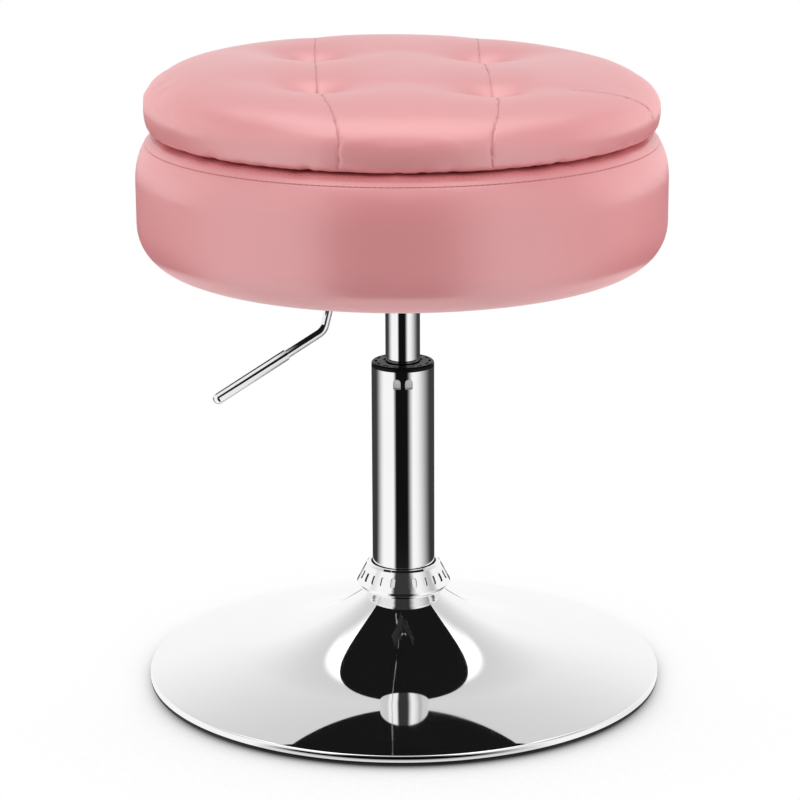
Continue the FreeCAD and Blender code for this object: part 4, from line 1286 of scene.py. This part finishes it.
@dataclass
class Studio:
    """Camera, floor, soft lights and what the chrome mirrors.

    Pairs of numbers are the start and the end of a smooth step. Directions have length one.

    Attributes:
        eye: camera place.
        pitch_deg: how far the camera looks down.
        yaw_deg: small turn to the side.
        roll_deg: small tilt of the picture.
        focal_px: focal length in pixels of the picture.
        left_deg: start and end of the left soft light's two edges, in degrees from the front.
        right_deg: the same of the right one.
        boxes: brightness of the soft lights, and of the dark beside them.
        behind_y: direction in which the dark front turns into the pale back.
        sky_z: upward direction over which the back's brightness changes.
        sky: brightness of the back, low down and high up.
        canopy: brightness of a canopy above the stool.
        canopy_back: how far behind the stool the canopy ends, for each metre of height.
        canopy_front: how far in front of it.
        canopy_side: how far beside it.
        canopy_low: lowest upward direction that the canopy is reckoned from.
        ambient: light of the surroundings on matt surfaces.
        floor_half: half side of the floor.
        shadow_r: how far the painted shadow of the stool reaches on the floor.
        shadow_y: where that painted shadow changes from the front to the back.
        shadow_depth: how deep the painted shadow is in front of the stool and behind it.
        sheet_r: radius at which the white sheet under the stool starts to fade and ends, as mirrors see it.
        sheet: brightness of that sheet.
        floor_y: where the floor that mirrors see turns white towards the back.
        bounce: share of light that the floor throws back on the stool.
        ring_r: inner and outer radius of the ring of lights that only mirrors see.
        ring_up: its height, above the base, so that the base doesn't see it.
        ring_y: where its dark changes from the front to the back.
        ring_dark: brightness of that dark.
        ring_slope: how steeply a mirrored ray comes down on the ring where it starts to show and shows fully.
        flag_r: inner and outer radius of the black card under the drum that only mirrors see.
        flag_up: height of that card.
        flag_white: distance from the origin over which the card turns white to the lever.
        flag_steep: slope of the mirrored rays that see that white.
        flag_far: how long such a ray may be.
        flag_near: how long any other ray that sees the white may be.
        flag_levels: brightness of the white and of the black.
        flag_slope: slope of the mirrored rays over which the card starts to show.
        lamps: the soft lights.
    """

    eye: tuple[float, float, float] = (0.0, -2.0516, 0.7705)
    pitch_deg: float = 15.28
    yaw_deg: float = 0.06
    roll_deg: float = -0.25
    focal_px: float = 2895.5
    left_deg: tuple[float, float, float, float] = (-116, -70, -24, -37)
    right_deg: tuple[float, float, float, float] = (14, 38, 118, 40)
    boxes: tuple[float, float] = (0.95, 0.04)
    behind_y: tuple[float, float] = (-0.25, 0.15)
    sky_z: tuple[float, float] = (0.25, 0.75)
    sky: tuple[float, float] = (1.0, 0.68)
    canopy: float = 0.9
    canopy_back: tuple[float, float] = (0.95, 0.8)
    canopy_front: tuple[float, float] = (-0.8, -0.4)
    canopy_side: tuple[float, float] = (0.7, 0.4)
    canopy_low: float = 0.01
    ambient: float = 0.38
    floor_half: float = 8.0
    shadow_r: float = 0.15
    shadow_y: tuple[float, float] = (-0.17, -0.02)
    shadow_depth: tuple[float, float] = (4.0, 0.8)
    sheet_r: tuple[float, float] = (0.198, 0.203)
    sheet: float = 0.75
    floor_y: tuple[float, float] = (-0.17, 0.0)
    bounce: float = 0.95
    ring_r: tuple[float, float] = (0.11, 2.4)
    ring_up: float = 0.040
    ring_y: tuple[float, float] = (-0.3, 0.3)
    ring_dark: tuple[float, float] = (0.006, 0.05)
    ring_slope: tuple[float, float] = (0.08, 0.16)
    flag_r: tuple[float, float] = (0.03, 0.1915)
    flag_up: float = 0.3125
    flag_white: tuple[float, float] = (0.325, 0.332)
    flag_steep: tuple[float, float] = (-0.84, -0.92)
    flag_far: tuple[float, float] = (0.15, 0.12)
    flag_near: tuple[float, float] = (0.045, 0.035)
    flag_levels: tuple[float, float] = (0.9, 0.009)
    flag_slope: tuple[float, float] = (0.02, -0.02)
    lamps: tuple[Lamp, ...] = (
        Lamp("left_light", (-2.05, 0.9, 0.1), 0.8, 41), Lamp("right_light", (2.05, 0.7, 0.1), 0.8, 45),
        Lamp("top_light", (0.0, 0.2, 2.2), 1.4, 11), Lamp("front_light", (0.0, -1.7, 2.0), 1.2, 25))

    def camera(self) -> None:
        """Places the camera where the photographer stood."""
        data = bpy.data.cameras.new("camera")
        data.sensor_width = 36.0
        data.lens = self.focal_px / IMAGE_PX * data.sensor_width
        data.clip_end = 50
        made = add_object("camera", data)
        turn = Matrix.Rotation(math.radians(self.yaw_deg), 4, "Z")
        turn = turn @ Matrix.Rotation(math.radians(90 - self.pitch_deg), 4, "X")
        turn = turn @ Matrix.Rotation(math.radians(self.roll_deg), 4, "Z")
        made.matrix_world = Matrix.Translation(self.eye) @ turn
        bpy.context.scene.camera = made

    def softboxes(self, shader: Shader, x: Socket, y: Socket) -> Socket:
        """Returns how bright the ring of lights is in a direction: dark in front, bright at both sides.

        Args:
            shader: tree to add to.
            x: socket of the direction to the right.
            y: socket of the direction away from the viewer.
        Returns:
            Socket of the brightness.
        """
        azimuth = shader.math("DEGREES", shader.math("ARCTAN2", x, shader.math("MULTIPLY", y, -1.0)))
        return shader.math("ADD", *[
            shader.math("MULTIPLY", shader.ramp(azimuth, *edges[:2]), shader.ramp(azimuth, *edges[2:]))
            for edges in (self.left_deg, self.right_deg)])

    def world(self) -> None:
        """White to the camera, soft light to the object, a studio to mirrors."""
        world = bpy.data.worlds.new("studio")
        world.use_nodes = True
        bpy.context.scene.world = world
        shader = Shader(world.node_tree)
        x, y, z = shader.axes(shader.add("ShaderNodeTexCoord").outputs["Generated"])
        up = shader.math("MAXIMUM", z, self.canopy_low)
        back = shader.math("DIVIDE", y, up)
        aside = shader.math("DIVIDE", shader.math("ABSOLUTE", x), up)
        canopy = shader.math("MULTIPLY", shader.ramp(back, *self.canopy_back), shader.ramp(back, *self.canopy_front))
        canopy = shader.math("MULTIPLY", canopy, shader.ramp(aside, *self.canopy_side, 0.0, self.canopy))
        bright, dark = self.boxes
        front = shader.math("ADD", shader.math("MULTIPLY", self.softboxes(shader, x, y), bright), dark)
        sky = shader.ramp(z, *self.sky_z, *self.sky)
        mirrored = shader.math("ADD", shader.blend(shader.ramp(y, *self.behind_y), front, sky), canopy)
        level = shader.blend(shader.from_mirror(), self.ambient, mirrored)
        level = shader.blend(shader.ray("Is Camera Ray"), level, 1.0)
        light = shader.add("ShaderNodeBackground", {"Color": (1, 1, 1, 1), "Strength": level})
        world.cycles.sampling_method = "NONE"
        shader.add("ShaderNodeOutputWorld", {"Surface": light.outputs[0]})

    def floor(self, maker: Maker) -> None:
        """A white floor with the stool's contact shadow painted in from ambient occlusion, deeper in front than
        behind.
        """
        half = self.floor_half
        corners = [(-half, -half, 0), (half, -half, 0), (half, half, 0), (-half, half, 0)]
        floor = maker.mesh("studio_floor", corners, [(0, 1, 2, 3)])
        paint, shader = new_material("studio_floor")
        place = shader.coord()
        x, y, _ = shader.axes(place)
        matt = shader.add("ShaderNodeBsdfDiffuse", {"Color": (*(self.bounce,) * 3, 1)}).outputs[0]
        # painted shadow: the white that the camera sees on the floor is dimmed by ambient occlusion, more in front
        # than behind
        shade = shader.add("ShaderNodeAmbientOcclusion", {"Distance": self.shadow_r}, samples=16).outputs["AO"]
        white = shader.glow(shader.math("POWER", shade, shader.ramp(y, *self.shadow_y, *self.shadow_depth)))
        ground = shader.over(shader.ray("Is Camera Ray"), matt, white)
        sheet = shader.ramp(shader.length(place), *self.sheet_r, self.sheet, 0.0)
        front = shader.math("MAXIMUM", self.softboxes(shader, x, y), sheet)
        mirrored = shader.glow(shader.blend(shader.ramp(y, *self.floor_y), front, 1.0))
        shader.add("ShaderNodeOutputMaterial", {"Surface": shader.over(shader.from_mirror(), ground, mirrored)})
        floor.data.materials.append(paint)

    @staticmethod
    def slope(shader: Shader) -> Socket:
        """Returns how steeply a mirrored ray comes down on a card, or rises to it where that is below zero."""
        return shader.axes(shader.add("ShaderNodeNewGeometry").outputs["Incoming"])["Z"]

    @staticmethod
    def for_mirrors(card: Piece, paint: bpy.types.Material, shader: Shader, shown: Socket, level: Socket) -> None:
        """Sets up a card that only polished parts see, hidden from the camera, matt light, clear rays and shadows.

        Args:
            card: mesh of the card.
            paint: its material.
            shader: tree of that material.
            shown: how much the card shows, from 0 to 1.
            level: how bright it is.
        """
        clear = shader.add("ShaderNodeBsdfTransparent").outputs[0]
        shader.add("ShaderNodeOutputMaterial", {"Surface": shader.over(shown, clear, shader.glow(level))})
        card.data.materials.append(paint)
        card.visible_camera = False
        card.visible_diffuse = False
        card.visible_transmission = False
        card.visible_shadow = False

    def mirror_ring(self, maker: Maker) -> None:
        """A ring above the base that only polished parts see, from above: dark, with a soft light on each side."""
        ring = maker.revolve("mirror_ring", [(r, self.ring_up) for r in self.ring_r], segments=96, closed=False)
        paint, shader = new_material("mirror_ring")
        x, y, _ = shader.axes(shader.coord())
        dark = shader.ramp(y, *self.ring_y, *self.ring_dark)
        level = shader.math("ADD", self.softboxes(shader, x, y), dark)
        self.for_mirrors(ring, paint, shader, shader.ramp(self.slope(shader), *self.ring_slope), level)

    def flag(self, maker: Maker) -> None:
        """A card under the drum: black to the base, so that it doesn't mirror pink, and white to the lever near by."""
        card = maker.revolve("mirror_flag", [(r, self.flag_up) for r in self.flag_r], segments=180, closed=False)
        paint, shader = new_material("mirror_flag")
        outer = shader.ramp(shader.length(shader.coord()), *self.flag_white)
        length, slope = shader.ray("Ray Length"), self.slope(shader)
        steep = shader.math("MULTIPLY", shader.ramp(slope, *self.flag_steep), shader.ramp(length, *self.flag_far))
        close = shader.math("MULTIPLY", shader.ramp(length, *self.flag_near), outer)
        lit = shader.math("MAXIMUM", shader.math("MULTIPLY", steep, outer), close)
        white, black = self.flag_levels
        level = shader.math("MAXIMUM", shader.math("MULTIPLY", lit, white), black)
        shown = shader.math("MAXIMUM", shader.ramp(slope, *self.flag_slope), close)
        self.for_mirrors(card, paint, shader, shown, level)

    def build(self, maker: Maker) -> None:
        """Builds the whole studio."""
        bpy.context.scene.view_settings.view_transform = "Standard"
        self.camera()
        self.world()
        self.floor(maker)
        self.mirror_ring(maker)
        self.flag(maker)
        for lamp in self.lamps:
            lamp.build()


def main() -> None:
    """Builds the stool and its studio."""
    logging.basicConfig(level=logging.INFO, format="%(name)s: %(message)s")
    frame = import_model()
    maker = Maker(frame)
    maker.dress_solids()
    for assembly in (Studio(), Base(), Notches(), Lid(), Drum(), Linings()):
        assembly.build(maker)


if __name__ == "__main__":
    main()
